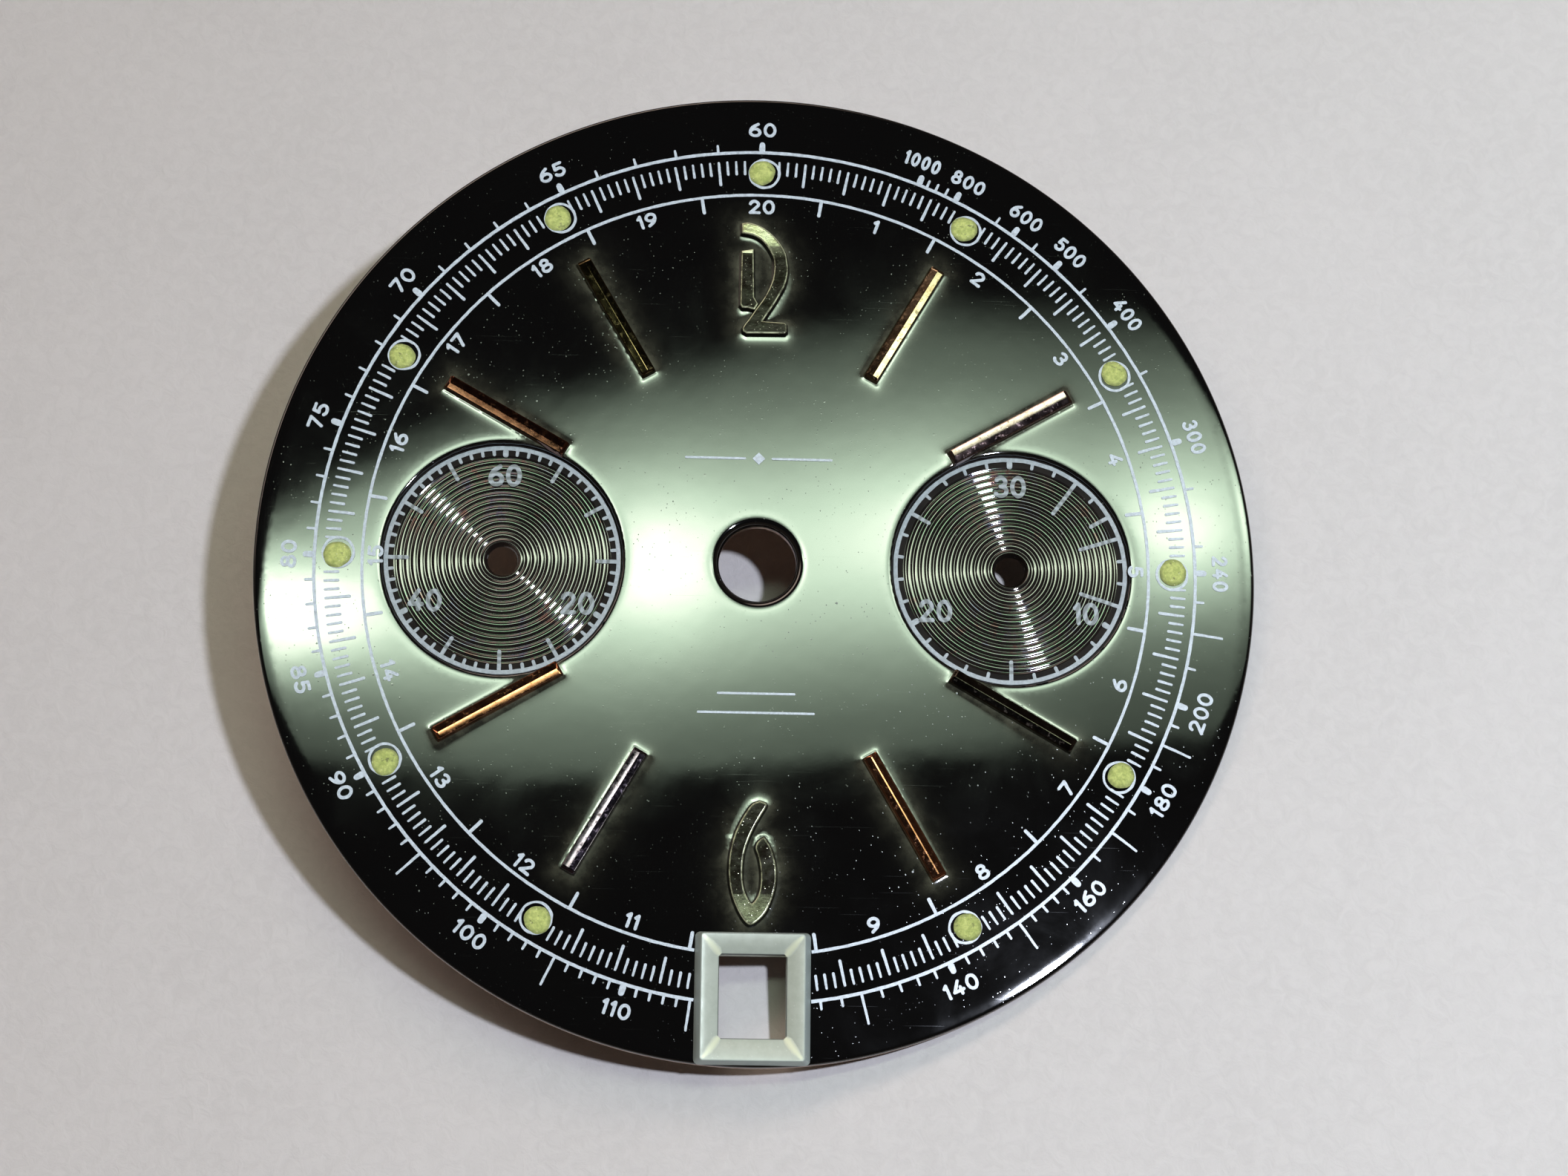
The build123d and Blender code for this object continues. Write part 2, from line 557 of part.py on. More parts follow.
ring_in = SUB_RING_R - SUB_RING_W / 2 - HAIR
marks = []
for k in range(60):
    if k in (0, 20, 40):
        marks += flat_tick(-SUB_X, 3.28, ring_in, 6 * k, 0.17)
    elif k % 5 == 0:
        marks += flat_tick(-SUB_X, 2.86, ring_in, 6 * k, 0.11)
    else:
        marks += flat_tick(-SUB_X, 3.32, ring_in, 6 * k, 0.09)
for text, deg in (("60", 0), ("20", 120), ("40", 240)):
    marks += flat_number(-SUB_X, text, deg, 2.70)
with BuildPart() as seconds_subdial_print:
    with BuildSketch(Plane.XY.offset(SUB_DISC_TOP + INK_LIFT)):
        with Locations((-SUB_X, 0)):
            Circle(SUB_RING_R + SUB_RING_W / 2)
            Circle(SUB_RING_R - SUB_RING_W / 2, mode=Mode.SUBTRACT)
    extrude(amount=INK_T)
    add(marks, clean=False)
seconds_subdial_print.part.label = "seconds_subdial_print"
export_step(seconds_subdial_print.part, "parts/seconds_subdial_print.step")

marks = []
for k in range(30):
    if k in (0, 10, 20):
        marks += flat_tick(SUB_X, 3.28, ring_in, 12 * k, 0.17)
    elif k in (3, 6, 9):
        marks += flat_tick(SUB_X, 2.25, ring_in, 12 * k, 0.11)
    elif k % 5 == 0:
        marks += flat_tick(SUB_X, 2.90, ring_in, 12 * k, 0.11)
    else:
        marks += flat_tick(SUB_X, 3.34, ring_in, 12 * k, 0.09)
for text, deg in (("30", 0), ("10", 120), ("20", 240)):
    marks += flat_number(SUB_X, text, deg, 2.70)
with BuildPart() as minutes_subdial_print:
    with BuildSketch(Plane.XY.offset(SUB_DISC_TOP + INK_LIFT)):
        with Locations((SUB_X, 0)):
            Circle(SUB_RING_R + SUB_RING_W / 2)
            Circle(SUB_RING_R - SUB_RING_W / 2, mode=Mode.SUBTRACT)
    extrude(amount=INK_T)
    add(marks, clean=False)
minutes_subdial_print.part.label = "minutes_subdial_print"
export_step(minutes_subdial_print.part, "parts/minutes_subdial_print.step")

# A plain printed ornament above the centre and two plain rules below it.
rules = []
for x, y, w in ((-1.35, 3.35, 1.90), (1.35, 3.35, 1.90), (0, -4.15, 2.40), (0, -4.75, 3.60)):
    turn = math.degrees(math.atan2(x, y))
    rules += bar(w, 0.07).moved(on_face(x, y, turn + 90)).solids()
with BuildPart() as centre_rules_print:
    with BuildSketch(upright_plane(3.35).offset(INK_LIFT)):
        Rectangle(0.28, 0.28, rotation=45)
    extrude(amount=INK_T)
    add(rules, clean=False)
centre_rules_print.part.label = "centre_rules_print"
export_step(centre_rules_print.part, "parts/centre_rules_print.step")
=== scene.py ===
import bpy
import math
import numpy as np
from mathutils import Matrix, Vector
from mathutils.geometry import delaunay_2d_cdt


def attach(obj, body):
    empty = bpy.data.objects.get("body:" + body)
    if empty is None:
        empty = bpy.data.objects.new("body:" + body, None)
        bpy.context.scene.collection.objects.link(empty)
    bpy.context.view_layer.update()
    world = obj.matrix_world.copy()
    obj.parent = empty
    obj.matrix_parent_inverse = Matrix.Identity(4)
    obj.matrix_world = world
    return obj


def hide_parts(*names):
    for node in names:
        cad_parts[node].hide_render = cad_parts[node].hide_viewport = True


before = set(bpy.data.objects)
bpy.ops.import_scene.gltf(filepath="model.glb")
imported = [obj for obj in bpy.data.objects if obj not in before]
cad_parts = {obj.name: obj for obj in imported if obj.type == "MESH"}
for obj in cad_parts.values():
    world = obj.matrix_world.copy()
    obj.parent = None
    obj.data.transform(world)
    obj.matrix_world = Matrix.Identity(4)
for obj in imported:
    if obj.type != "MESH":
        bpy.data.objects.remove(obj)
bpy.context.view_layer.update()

# ------------------------------------------------------------------ dimensions
# Millimetres, in the CAD frame: +Z out of the face, +Y to 12, +X to 3.
DIAL_R = 15.50
DOME_R = 562.0
FACE_Z = 0.56
BACK_Z = 0.155
SEAT_R_IN = 13.20
HOLE_R = 1.20
HOLE_LIP = 0.20
SUB_X = 7.87
SUB_OPEN_R = 3.70
SUB_SEAT_R = 4.00
SUB_DISC_R = 3.98
DISC_Z0, DISC_Z1 = 0.05, 0.27
SUB_HOLE_R = 0.54
MARK_HOURS = [1, 2, 4, 5, 7, 8, 10, 11]
MARK_IN, MARK_OUT = 6.92, 11.26
DOT_HOURS = [12, 1, 2, 3, 4, 5, 7, 8, 9, 10, 11]
DOT_ORBIT = 12.93
DATE_Y = -13.45
WINDOW_UP = 0.05
FRAME_BASE = (3.48, 3.96)
FRAME_TOP = (3.12, 3.78)
FRAME_OPEN = (2.02, 2.50)
FRAME_H, FRAME_LIP_H = 0.42, 0.12
FOOT_ANGLES = {"dial_foot_a": 41.0, "dial_foot_b": 219.0}
FOOT_LEN = 3.05
REST_CLOCK = 130.0        # the rim touches the paper here, because the dial lies on its two feet
REST_SLOPE = 0.205

rng = np.random.default_rng(7)


def face_z(x, y=0.0):
    """Crowned face of the plate, a touch steeper at the rim."""
    r2 = np.asarray(x, float)**2 + np.asarray(y, float)**2
    r = np.sqrt(r2)
    return FACE_Z - (DOME_R - np.sqrt(DOME_R**2 - r2)) - 0.075 * np.clip(r - 15.05, 0, None)**2


def back_z(x, y=0.0):
    r2 = np.asarray(x, float)**2 + np.asarray(y, float)**2
    return np.maximum(BACK_Z - (DOME_R - np.sqrt(DOME_R**2 - r2)), 0.0)


def clock(r, deg):
    a = math.radians(deg)
    return (r * math.sin(a), r * math.cos(a))


def hash_noise(p, scale, seed=0):
    """Smooth value noise, about -1 to 1, at points given in millimetres."""
    p = np.asarray(p, float) * scale
    i = np.floor(p).astype(int)
    f = p - i
    f = f * f * (3 - 2 * f)

    def val(a, b):
        h = (a * 374761393 + b * 668265263 + seed * 69069 + 1013904223) & 0x7FFFFFFF
        h = (h ^ (h >> 13)) * 1274126177 & 0x7FFFFFFF
        return ((h ^ (h >> 16)) & 0xFFFF) / 32767.5 - 1.0
    a, b = i[:, 0], i[:, 1]
    u, v = f[:, 0], f[:, 1]
    return ((val(a, b) * (1 - u) + val(a + 1, b) * u) * (1 - v)
            + (val(a, b + 1) * (1 - u) + val(a + 1, b + 1) * u) * v)


# ----------------------------------------------------------------- mesh helpers
def make(name, verts, faces, mat, replaces=(), angle=35.0, attrs=None):
    """A mesh piece from millimetre vertices, riding on the one body."""
    me = bpy.data.meshes.new(name)
    me.from_pydata((np.asarray(verts, float) * 0.001).tolist(), [], [list(map(int, f)) for f in faces])
    me.validate()
    me.update()
    me.shade_smooth()
    if angle < 180:
        me.set_sharp_from_angle(angle=math.radians(angle))
    for key, values in (attrs or {}).items():
        layer = me.attributes.new(key, "FLOAT", "POINT")
        layer.data.foreach_set("value", np.asarray(values, np.float32))
    me.materials.append(mat)
    ob = bpy.data.objects.new(name, me)
    bpy.context.scene.collection.objects.link(ob)
    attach(ob, "root")
    if replaces:
        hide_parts(*replaces)
    return ob


class Shell:
    """Collects vertices and faces of one piece."""

    def __init__(self):
        self.v, self.f, self.n = [], [], 0

    def add(self, verts, faces=()):
        base = self.n
        self.v.append(np.asarray(verts, float).reshape(-1, 3))
        self.n += len(self.v[-1])
        self.f += [[base + i for i in f] for f in faces]
        return base

    def verts(self):
        return np.concatenate(self.v)

    def bridge(self, a, b, n, flip=False):
        """Quads between two closed loops of n vertices that start at a and b."""
        for k in range(n):
            q = [a + k, a + (k + 1) % n, b + (k + 1) % n, b + k]
            self.f.append(q[::-1] if flip else q)


def loops_solid(shell, loops, cap_first=True, cap_last=True):
    """A closed skin through loops of equal length, all counter-clockwise from above, bottom loop first."""
    n = len(loops[0])
    at = [shell.add(l) for l in loops]
    for a, b in zip(at, at[1:]):
        shell.bridge(a, b, n)
    if cap_first:
        shell.f.append([at[0] + k for k in range(n)][::-1])
    if cap_last:
        shell.f.append([at[-1] + k for k in range(n)])
    return at


def circle(cx, cy, r, n, start=0.0):
    t = np.linspace(0, 2 * np.pi, n, endpoint=False) + start
    return np.c_[cx + r * np.cos(t), cy + r * np.sin(t)]


def seg_dist(p, a, b):
    """Distance of points p (n,2) to the segment a-b."""
    a, b = np.asarray(a, float), np.asarray(b, float)
    d = b - a
    t = np.clip(((p - a) @ d) / max(d @ d, 1e-12), 0, 1)
    return np.hypot(*(p - a - t[:, None] * d).T)


def poly_dist(p, poly):
    out = np.full(len(p), 1e9)
    for k in range(len(poly)):
        out = np.minimum(out, seg_dist(p, poly[k - 1], poly[k]))
    return out


def inside(p, poly):
    """Even-odd test of points in a closed polygon."""
    x, y = p[:, 0], p[:, 1]
    res = np.zeros(len(p), bool)
    for k in range(len(poly)):
        x0, y0 = poly[k - 1]
        x1, y1 = poly[k]
        if y0 == y1:
            continue
        hit = ((y0 > y) != (y1 > y)) & (x < (x1 - x0) * (y - y0) / (y1 - y0) + x0)
        res ^= hit
    return res


def spline(points, per=6):
    """Catmull-Rom points through an open polyline."""
    p = np.asarray(points, float)
    e = np.concatenate([[2 * p[0] - p[1]], p, [2 * p[-1] - p[-2]]])
    out = []
    for k in range(1, len(e) - 2):
        for t in np.linspace(0, 1, per, endpoint=False):
            a, b, c, d = e[k - 1], e[k], e[k + 1], e[k + 2]
            out.append(0.5 * (2 * b + (c - a) * t + (2 * a - 5 * b + 4 * c - d) * t * t + (3 * b - a - 3 * c + d) * t**3))
    out.append(p[-1])
    return [tuple(q) for q in out]


def region(field, xs, ys, level=0.0):
    """Mesh of the part of a grid where field > level, by marching squares.
    Gives points (n,2), faces and the directed boundary edges."""
    f = field - level
    nx, ny = len(xs), len(ys)
    pos, ids = [], {}

    def corner(i, j):
        key = ("c", i, j)
        if key not in ids:
            ids[key] = len(pos)
            pos.append((xs[i], ys[j]))
        return ids[key]

    def cross(i0, j0, i1, j1):
        key = ("e",) + tuple(sorted(((i0, j0), (i1, j1))))
        if key not in ids:
            a, b = f[j0, i0], f[j1, i1]
            t = min(max(a / (a - b), 0.02), 0.98)
            ids[key] = len(pos)
            pos.append((xs[i0] + (xs[i1] - xs[i0]) * t, ys[j0] + (ys[j1] - ys[j0]) * t))
        return ids[key]

    ins = f > 0
    any_in = ins[:-1, :-1] | ins[1:, :-1] | ins[:-1, 1:] | ins[1:, 1:]
    faces, edges = [], []
    for j, i in np.argwhere(any_in):
        c = [(i, j), (i + 1, j), (i + 1, j + 1), (i, j + 1)]
        s = [ins[q[1], q[0]] for q in c]
        if all(s):
            faces.append([corner(*q) for q in c])
            continue
        if sum(s) == 2 and s[0] == s[2]:
            for k in range(4):
                if s[k]:
                    a = cross(*c[k], *c[k - 1])
                    b = cross(*c[k], *c[(k + 1) % 4])
                    faces.append([corner(*c[k]), b, a])
                    edges.append((b, a))
            continue
        poly = []
        mark = []
        for k in range(4):
            if s[k]:
                poly.append(corner(*c[k]))
                mark.append(False)
            if s[k] != s[(k + 1) % 4]:
                poly.append(cross(*c[k], *c[(k + 1) % 4]))
                mark.append(True)
        faces.append(poly)
        for k in range(len(poly)):
            if mark[k] and mark[(k + 1) % len(poly)]:
                edges.append((poly[k], poly[(k + 1) % len(poly)]))
    return np.array(pos), faces, edges


# -------------------------------------------------------------------- materials
class Mat:
    """A node material with a few shorthands. Lengths in its textures are millimetres."""

    def __init__(self, name):
        self.m = bpy.data.materials.new(name)
        self.m.use_nodes = True
        self.t = self.m.node_tree
        self.b = self.t.nodes["Principled BSDF"]
        c = self.t.nodes.new("ShaderNodeTexCoord")
        s = self.t.nodes.new("ShaderNodeVectorMath")
        s.operation = "SCALE"
        s.inputs[3].default_value = 1000.0
        self.t.links.new(c.outputs["Object"], s.inputs[0])
        self.mm = s.outputs[0]

    def put(self, **values):
        for k, v in values.items():
            self.b.inputs[k.replace("_", " ")].default_value = v

    def new(self, kind, **props):
        n = self.t.nodes.new("ShaderNode" + kind)
        for k, v in props.items():
            setattr(n, k, v)
        return n

    def wire(self, out, socket):
        self.t.links.new(out, socket)

    def noise(self, scale, detail=3.0, rough=0.55, vec=None, distort=0.0):
        n = self.new("TexNoise")
        n.inputs["Scale"].default_value = scale
        n.inputs["Detail"].default_value = detail
        n.inputs["Roughness"].default_value = rough
        n.inputs["Distortion"].default_value = distort
        self.wire(vec or self.mm, n.inputs["Vector"])
        return n.outputs[0]

    def stretch(self, sx, sy, sz, angle=0.0, off=(0, 0, 0)):
        n = self.new("Mapping")
        n.inputs["Location"].default_value = off
        n.inputs["Rotation"].default_value = (0, 0, angle)
        n.inputs["Scale"].default_value = (sx, sy, sz)
        self.wire(self.mm, n.inputs["Vector"])
        return n.outputs[0]

    def ramp(self, value, a, b, lo=0.0, hi=1.0, smooth=True):
        n = self.new("MapRange")
        n.interpolation_type = "SMOOTHSTEP" if smooth else "LINEAR"
        n.clamp = True if not smooth else n.clamp
        for k, v in zip(range(1, 5), (a, b, lo, hi)):
            n.inputs[k].default_value = v
        self.wire(value, n.inputs[0])
        return n.outputs[0]

    def math(self, op, a, b=None):
        n = self.new("Math", operation=op)
        for k, v in enumerate((a, b)):
            if v is None:
                continue
            if isinstance(v, (int, float)):
                n.inputs[k].default_value = v
            else:
                self.wire(v, n.inputs[k])
        return n.outputs[0]

    def mix(self, fac, a, b):
        n = self.new("Mix", data_type="RGBA")
        if isinstance(fac, (int, float)):
            n.inputs[0].default_value = fac
        else:
            self.wire(fac, n.inputs[0])
        for k, v in ((6, a), (7, b)):
            if isinstance(v, (tuple, list)):
                n.inputs[k].default_value = (*v[:3], 1.0)
            else:
                self.wire(v, n.inputs[k])
        return n.outputs[2]

    def attr(self, name):
        n = self.new("Attribute", attribute_name=name)
        return n.outputs["Fac"]

    def voronoi(self, scale, vec=None, feature="F1", rand=1.0):
        n = self.new("TexVoronoi", feature=feature)
        n.inputs["Scale"].default_value = scale
        n.inputs["Randomness"].default_value = rand
        self.wire(vec or self.mm, n.inputs["Vector"])
        return n

    def bump(self, height, strength=0.2, distance=0.00001):
        n = self.new("Bump")
        n.inputs["Strength"].default_value = strength
        n.inputs["Distance"].default_value = distance
        self.wire(height, n.inputs["Height"])
        self.wire(n.outputs[0], self.b.inputs["Normal"])
        return n

    def dust(self, scale, size, share, seed):
        """Mask of small specks: one Voronoi cell in a few carries one."""
        v = self.voronoi(scale, self.stretch(1, 1, 1, seed, (seed * 3.1, seed * 7.7, 0)))
        near = self.ramp(v.outputs["Distance"], size, size * 0.45)
        sep = self.new("SeparateColor")
        self.wire(v.outputs["Color"], sep.inputs[0])
        pick = self.ramp(sep.outputs[0], 1 - share, 1 - share + 0.02)
        return self.math("MULTIPLY", near, pick)

    def scratch(self, angle, length, width, amount, seed):
        """Mask of fine straight hairlines at one angle."""
        n = self.noise(1.0, 0.0, 0.5, self.stretch(1 / length, 1 / width, 1, angle, (seed * 13.7, seed * 5.3, 0)))
        return self.ramp(n, 1 - amount, 1 - amount + 0.03)


def lacquer(name, with_painted_glow=True):
    m = Mat(name)
    m.put(Roughness=0.05, IOR=1.84, Metallic=0.0)
    specks = m.math("MAXIMUM", m.dust(2.2, 0.085, 0.14, 1.3), m.dust(5.0, 0.13, 0.10, 4.1))
    tiny = m.dust(11.0, 0.20, 0.14, 2.6)
    patch = m.ramp(m.noise(0.28, 4.0, 0.6), 0.42, 0.68)
    specks = m.math("MULTIPLY", m.math("MAXIMUM", specks, tiny), m.math("ADD", 0.25, m.math("MULTIPLY", patch, 0.75)))
    hair = m.math("MAXIMUM", m.scratch(0.45, 2.2, 0.020, 0.150, 1), m.scratch(-0.9, 1.8, 0.018, 0.145, 2))
    black = (0.0030, 0.0027, 0.0024)
    col = m.mix(m.math("MULTIPLY", hair, 0.12), black, (0.03, 0.03, 0.027))
    if with_painted_glow:
        # painted highlight: a pale glow is mixed into the lacquer colour around the feet of the markers and numerals
        painted_glow_fac = m.attr("painted_glow")
        cloud = m.ramp(m.noise(1.6, 4.0, 0.65), 0.35, 0.7)
        col = m.mix(m.math("MULTIPLY", painted_glow_fac, m.math("ADD", 0.25, m.math("MULTIPLY", cloud, 0.6))), col, (0.15, 0.15, 0.10))
    col = m.mix(m.math("MULTIPLY", specks, 0.6), col, (0.10, 0.10, 0.088))
    m.wire(col, m.b.inputs["Base Color"])
    smear = m.ramp(m.noise(0.35, 5.0, 0.6, None, 0.6), 0.35, 0.75, 0.03, 0.06)
    rough = m.math("ADD", smear, m.math("MULTIPLY", m.math("MAXIMUM", m.math("MULTIPLY", specks, 0.6), m.math("MULTIPLY", hair, 0.10)), 0.6))
    m.wire(rough, m.b.inputs["Roughness"])
    wave = m.noise(0.55, 2.0, 0.5)
    grain = m.noise(9.0, 3.0, 0.5)
    h = m.math("ADD", m.math("MULTIPLY", wave, 0.45), m.math("MULTIPLY", grain, 0.012))
    h = m.math("ADD", h, m.math("MULTIPLY", specks, 0.3))
    m.bump(h, 0.22, 0.000012)
    return m.m


def groove_metal(name):
    """Black lacquer over fine turning, with the faint colour play of the grooves."""
    m = Mat(name)
    m.put(Roughness=0.07, IOR=1.84)
    # faint red, green and blue play, only above and below the hand hole
    sep = m.new("SeparateXYZ")
    m.wire(m.mm, sep.inputs[0])
    zone = m.ramp(m.math("ABSOLUTE", sep.outputs[1]), 0.5, 1.4)
    tint = m.new("ValToRGB")
    el = tint.color_ramp.elements
    el[0].position, el[0].color = 0.36, (1.0, 0.45, 0.40, 1)
    el[1].position, el[1].color = 0.64, (0.55, 0.55, 1.0, 1)
    for pos, c in ((0.42, (1, 0.95, 0.92, 1)), (0.48, (0.55, 1.0, 0.66, 1)), (0.54, (1, 0.95, 0.92, 1))):
        e = el.new(pos)
        e.color = c
    m.wire(m.noise(1.3, 5.0, 0.75, m.stretch(1, 1, 1, 0.7, (3, 9, 0)), 0.5), tint.inputs[0])
    m.wire(m.mix(m.math("MULTIPLY", zone, 0.75), (1.0, 0.95, 0.92), tint.outputs[0]), m.b.inputs["Specular Tint"])
    base = m.mix(m.ramp(m.noise(0.8, 3.0), 0.35, 0.7), (0.010, 0.008, 0.007), (0.018, 0.014, 0.012))
    specks = m.dust(6.0, 0.18, 0.10, 5.2)
    col = m.mix(m.math("MULTIPLY", specks, 0.7), base, (0.20, 0.19, 0.17))
    m.wire(col, m.b.inputs["Base Color"])
    m.wire(m.ramp(m.noise(1.1, 4.0), 0.3, 0.8, 0.03, 0.07), m.b.inputs["Roughness"])
    m.bump(m.noise(16.0, 2.0), 0.06, 0.000003)
    return m.m


def dull_band(name):
    """The flat outer band of a sub-dial, which mirrors almost nothing."""
    m = Mat(name)
    m.put(IOR=1.5)
    m.b.inputs["Specular IOR Level"].default_value = 0.04
    base = m.mix(m.ramp(m.noise(0.8, 3.0), 0.35, 0.7), (0.012, 0.010, 0.009), (0.022, 0.018, 0.015))
    m.wire(m.mix(m.math("MULTIPLY", m.dust(6.0, 0.18, 0.10, 5.2), 0.7), base, (0.20, 0.19, 0.17)), m.b.inputs["Base Color"])
    m.wire(m.ramp(m.noise(1.1, 4.0), 0.3, 0.8, 0.34, 0.44), m.b.inputs["Roughness"])
    m.bump(m.noise(16.0, 2.0), 0.06, 0.000003)
    return m.m


def metal(name, light, dark, rough=0.16, dirt=0.35, spots=(0.05, 0.035, 0.02), bump=0.12):
    m = Mat(name)
    m.put(Metallic=1.0)
    cloud = m.ramp(m.noise(2.4, 4.0, 0.65), 0.35, 0.68)
    col = m.mix(cloud, light, dark)
    grime = m.math("MULTIPLY", m.ramp(m.noise(6.5, 5.0, 0.7, None, 0.4), 0.52, 0.68), dirt)
    col = m.mix(grime, col, spots)
    pits = m.dust(7.0, 0.20, 0.22, 3.3)
    col = m.mix(m.math("MULTIPLY", pits, 0.6), col, tuple(min(1.0, c * 1.4 + 0.02) for c in light))
    m.wire(col, m.b.inputs["Base Color"])
    m.wire(m.math("ADD", m.math("MULTIPLY", grime, 0.45), m.ramp(m.noise(3.0, 3.0), 0.3, 0.8, rough * 0.7, rough * 1.4)), m.b.inputs["Roughness"])
    h = m.math("ADD", m.noise(4.0, 3.0, 0.6), m.math("MULTIPLY", pits, 0.5))
    m.bump(h, bump, 0.00001)
    return m.m


def ink(name, tone, over_grooves=False):
    m = Mat(name)
    m.put(Roughness=0.30, IOR=1.50)
    body = m.ramp(m.noise(9.0, 4.0, 0.6), 0.30, 0.75)
    col = m.mix(body, tuple(c * 0.80 for c in tone), tuple(min(1, c * 1.10) for c in tone))
    wear = m.math("MULTIPLY", m.ramp(m.noise(3.5, 5.0, 0.7), 0.60, 0.74), 0.35)
    col = m.mix(wear, col, (0.12, 0.13, 0.13))
    if over_grooves:
        # thin print, with painted shade: it is darkened in rings over the troughs of the turning below it
        sep = m.new("SeparateXYZ")
        m.wire(m.mm, sep.inputs[0])
        dx = m.math("SUBTRACT", m.math("ABSOLUTE", sep.outputs[0]), SUB_X)
        r = m.math("SQRT", m.math("ADD", m.math("MULTIPLY", dx, dx), m.math("MULTIPLY", sep.outputs[1], sep.outputs[1])))
        turn = m.math("MULTIPLY", m.math("SUBTRACT", r, 0.575), 2 * math.pi / 0.2145)
        painted_groove_shade = m.ramp(m.math("COSINE", turn), 0.75, -0.75)
        painted_groove_shade = m.math("MULTIPLY", painted_groove_shade, m.ramp(r, 3.30, 3.38, 0.62, 0.0))
        col = m.mix(painted_groove_shade, col, (0.060, 0.062, 0.058))
    m.wire(col, m.b.inputs["Base Color"])
    m.bump(m.noise(22.0, 3.0, 0.6), 0.30, 0.000006)
    return m.m


def lume():
    m = Mat("lume_compound")
    m.put(Roughness=0.85, IOR=1.5)
    grain = m.ramp(m.noise(7.0, 5.0, 0.7), 0.30, 0.72)
    col = m.mix(grain, (0.42, 0.50, 0.13), (0.76, 0.82, 0.27))
    dark = m.ramp(m.noise(4.5, 4.0, 0.65, m.stretch(1, 1, 1, 0.3, (5, 2, 0))), 0.58, 0.70)
    edge = m.math("MULTIPLY", m.attr("border"), m.ramp(m.noise(8.0, 4.0, 0.7), 0.35, 0.6, 0.35, 1.0))
    dark = m.math("MAXIMUM", m.math("MULTIPLY", dark, 0.8), m.math("MULTIPLY", edge, 0.75))
    col = m.mix(dark, col, (0.15, 0.17, 0.07))
    crumbs = m.dust(9.0, 0.24, 0.3, 6.4)
    col = m.mix(m.math("MULTIPLY", crumbs, 0.6), col, (0.88, 0.90, 0.55))
    m.wire(col, m.b.inputs["Base Color"])
    m.bump(m.noise(11.0, 6.0, 0.7), 0.8, 0.00003)
    return m.m


def paper():
    m = Mat("paper_floor")
    m.put(Roughness=0.9, IOR=1.45)
    m.b.inputs["Specular IOR Level"].default_value = 0.15
    fib = m.noise(2.2, 6.0, 0.65, None, 0.8)
    soft = m.noise(0.12, 3.0, 0.5)
    col = m.mix(m.ramp(fib, 0.3, 0.7), (0.74, 0.715, 0.69), (0.79, 0.765, 0.74))
    col = m.mix(m.math("MULTIPLY", m.ramp(soft, 0.35, 0.7), 0.25), col, (0.83, 0.80, 0.775))
    sep = m.new("SeparateXYZ")
    m.wire(m.mm, sep.inputs[0])
    # painted light falloff: the sheet is made darker and a little redder towards the left (-X), and brighter to the
    # right
    painted_falloff = m.ramp(sep.outputs[0], -30.0, 30.0, 0.0, 1.0, False)
    shade = m.new("VectorMath", operation="MULTIPLY")
    m.wire(col, shade.inputs[0])
    m.wire(m.mix(painted_falloff, (0.935, 0.900, 0.900), (1.02, 1.02, 1.015)), shade.inputs[1])
    m.wire(shade.outputs[0], m.b.inputs["Base Color"])
    m.bump(fib, 0.55, 0.00007)
    # one-sided, so that a low view from the raised side isn't blocked
    geo = m.new("NewGeometry")
    clear = m.new("BsdfTransparent")
    mix = m.new("MixShader")
    out = m.t.nodes["Material Output"]
    m.wire(geo.outputs["Backfacing"], mix.inputs[0])
    m.wire(m.b.outputs[0], mix.inputs[1])
    m.wire(clear.outputs[0], mix.inputs[2])
    m.wire(mix.outputs[0], out.inputs["Surface"])
    return m.m


PLATE = lacquer("black_lacquer")
BARE = metal("bare_copper_brass", (0.38, 0.235, 0.165), (0.27, 0.165, 0.115), 0.34, 0.5, (0.10, 0.05, 0.03), 0.25)
FLOORS = groove_metal("turned_black_lacquer")
BAND = dull_band("dull_black_band")
INK = ink("silver_grey_print", (0.67, 0.745, 0.81))
INK_LOW = ink("worn_grey_print_painted_groove_shade", (0.42, 0.465, 0.50), True)
LUME = lume()

# Each marker's metal has its own tone: partly its own tarnish, partly painted light, as lighter and darker copies for
# how much light each marker catches.
TONES = {
    1: ((0.30, 0.23, 0.155), (0.22, 0.145, 0.085)),
    2: ((0.33, 0.245, 0.235), (0.25, 0.17, 0.15)),
    4: ((0.11, 0.095, 0.075), (0.055, 0.045, 0.035)),
    5: ((0.60, 0.27, 0.15), (0.44, 0.18, 0.09)),
    7: ((0.150, 0.120, 0.158), (0.105, 0.080, 0.098)),
    8: ((0.52, 0.23, 0.125), (0.42, 0.16, 0.08)),
    10: ((0.24, 0.105, 0.066), (0.165, 0.066, 0.040)),
    11: ((0.13, 0.100, 0.050), (0.070, 0.050, 0.024)),
}


# ------------------------------------------------------- outlines of the markers
def rounded_box(hw, hl, r, per=4):
    """Outline, counter-clockwise, of a rectangle with rounded corners."""
    pts = []
    for cx, cy, a0 in ((hw - r, hl - r, 0), (-hw + r, hl - r, 90), (-hw + r, -hl + r, 180), (hw - r, -hl + r, 270)):
        for a in np.linspace(a0, a0 + 90, per):
            pts.append((cx + r * math.cos(math.radians(a)), cy + r * math.sin(math.radians(a))))
    return np.array(pts)


def to_marker(h, pts):
    """Local (across, along) of a marker to dial coordinates."""
    a = math.radians(30 * h)
    mx, my = clock((MARK_IN + MARK_OUT) / 2, 30 * h)
    pts = np.asarray(pts, float)
    return np.c_[mx + pts[:, 0] * math.cos(a) + pts[:, 1] * math.sin(a),
                 my - pts[:, 0] * math.sin(a) + pts[:, 1] * math.cos(a)]


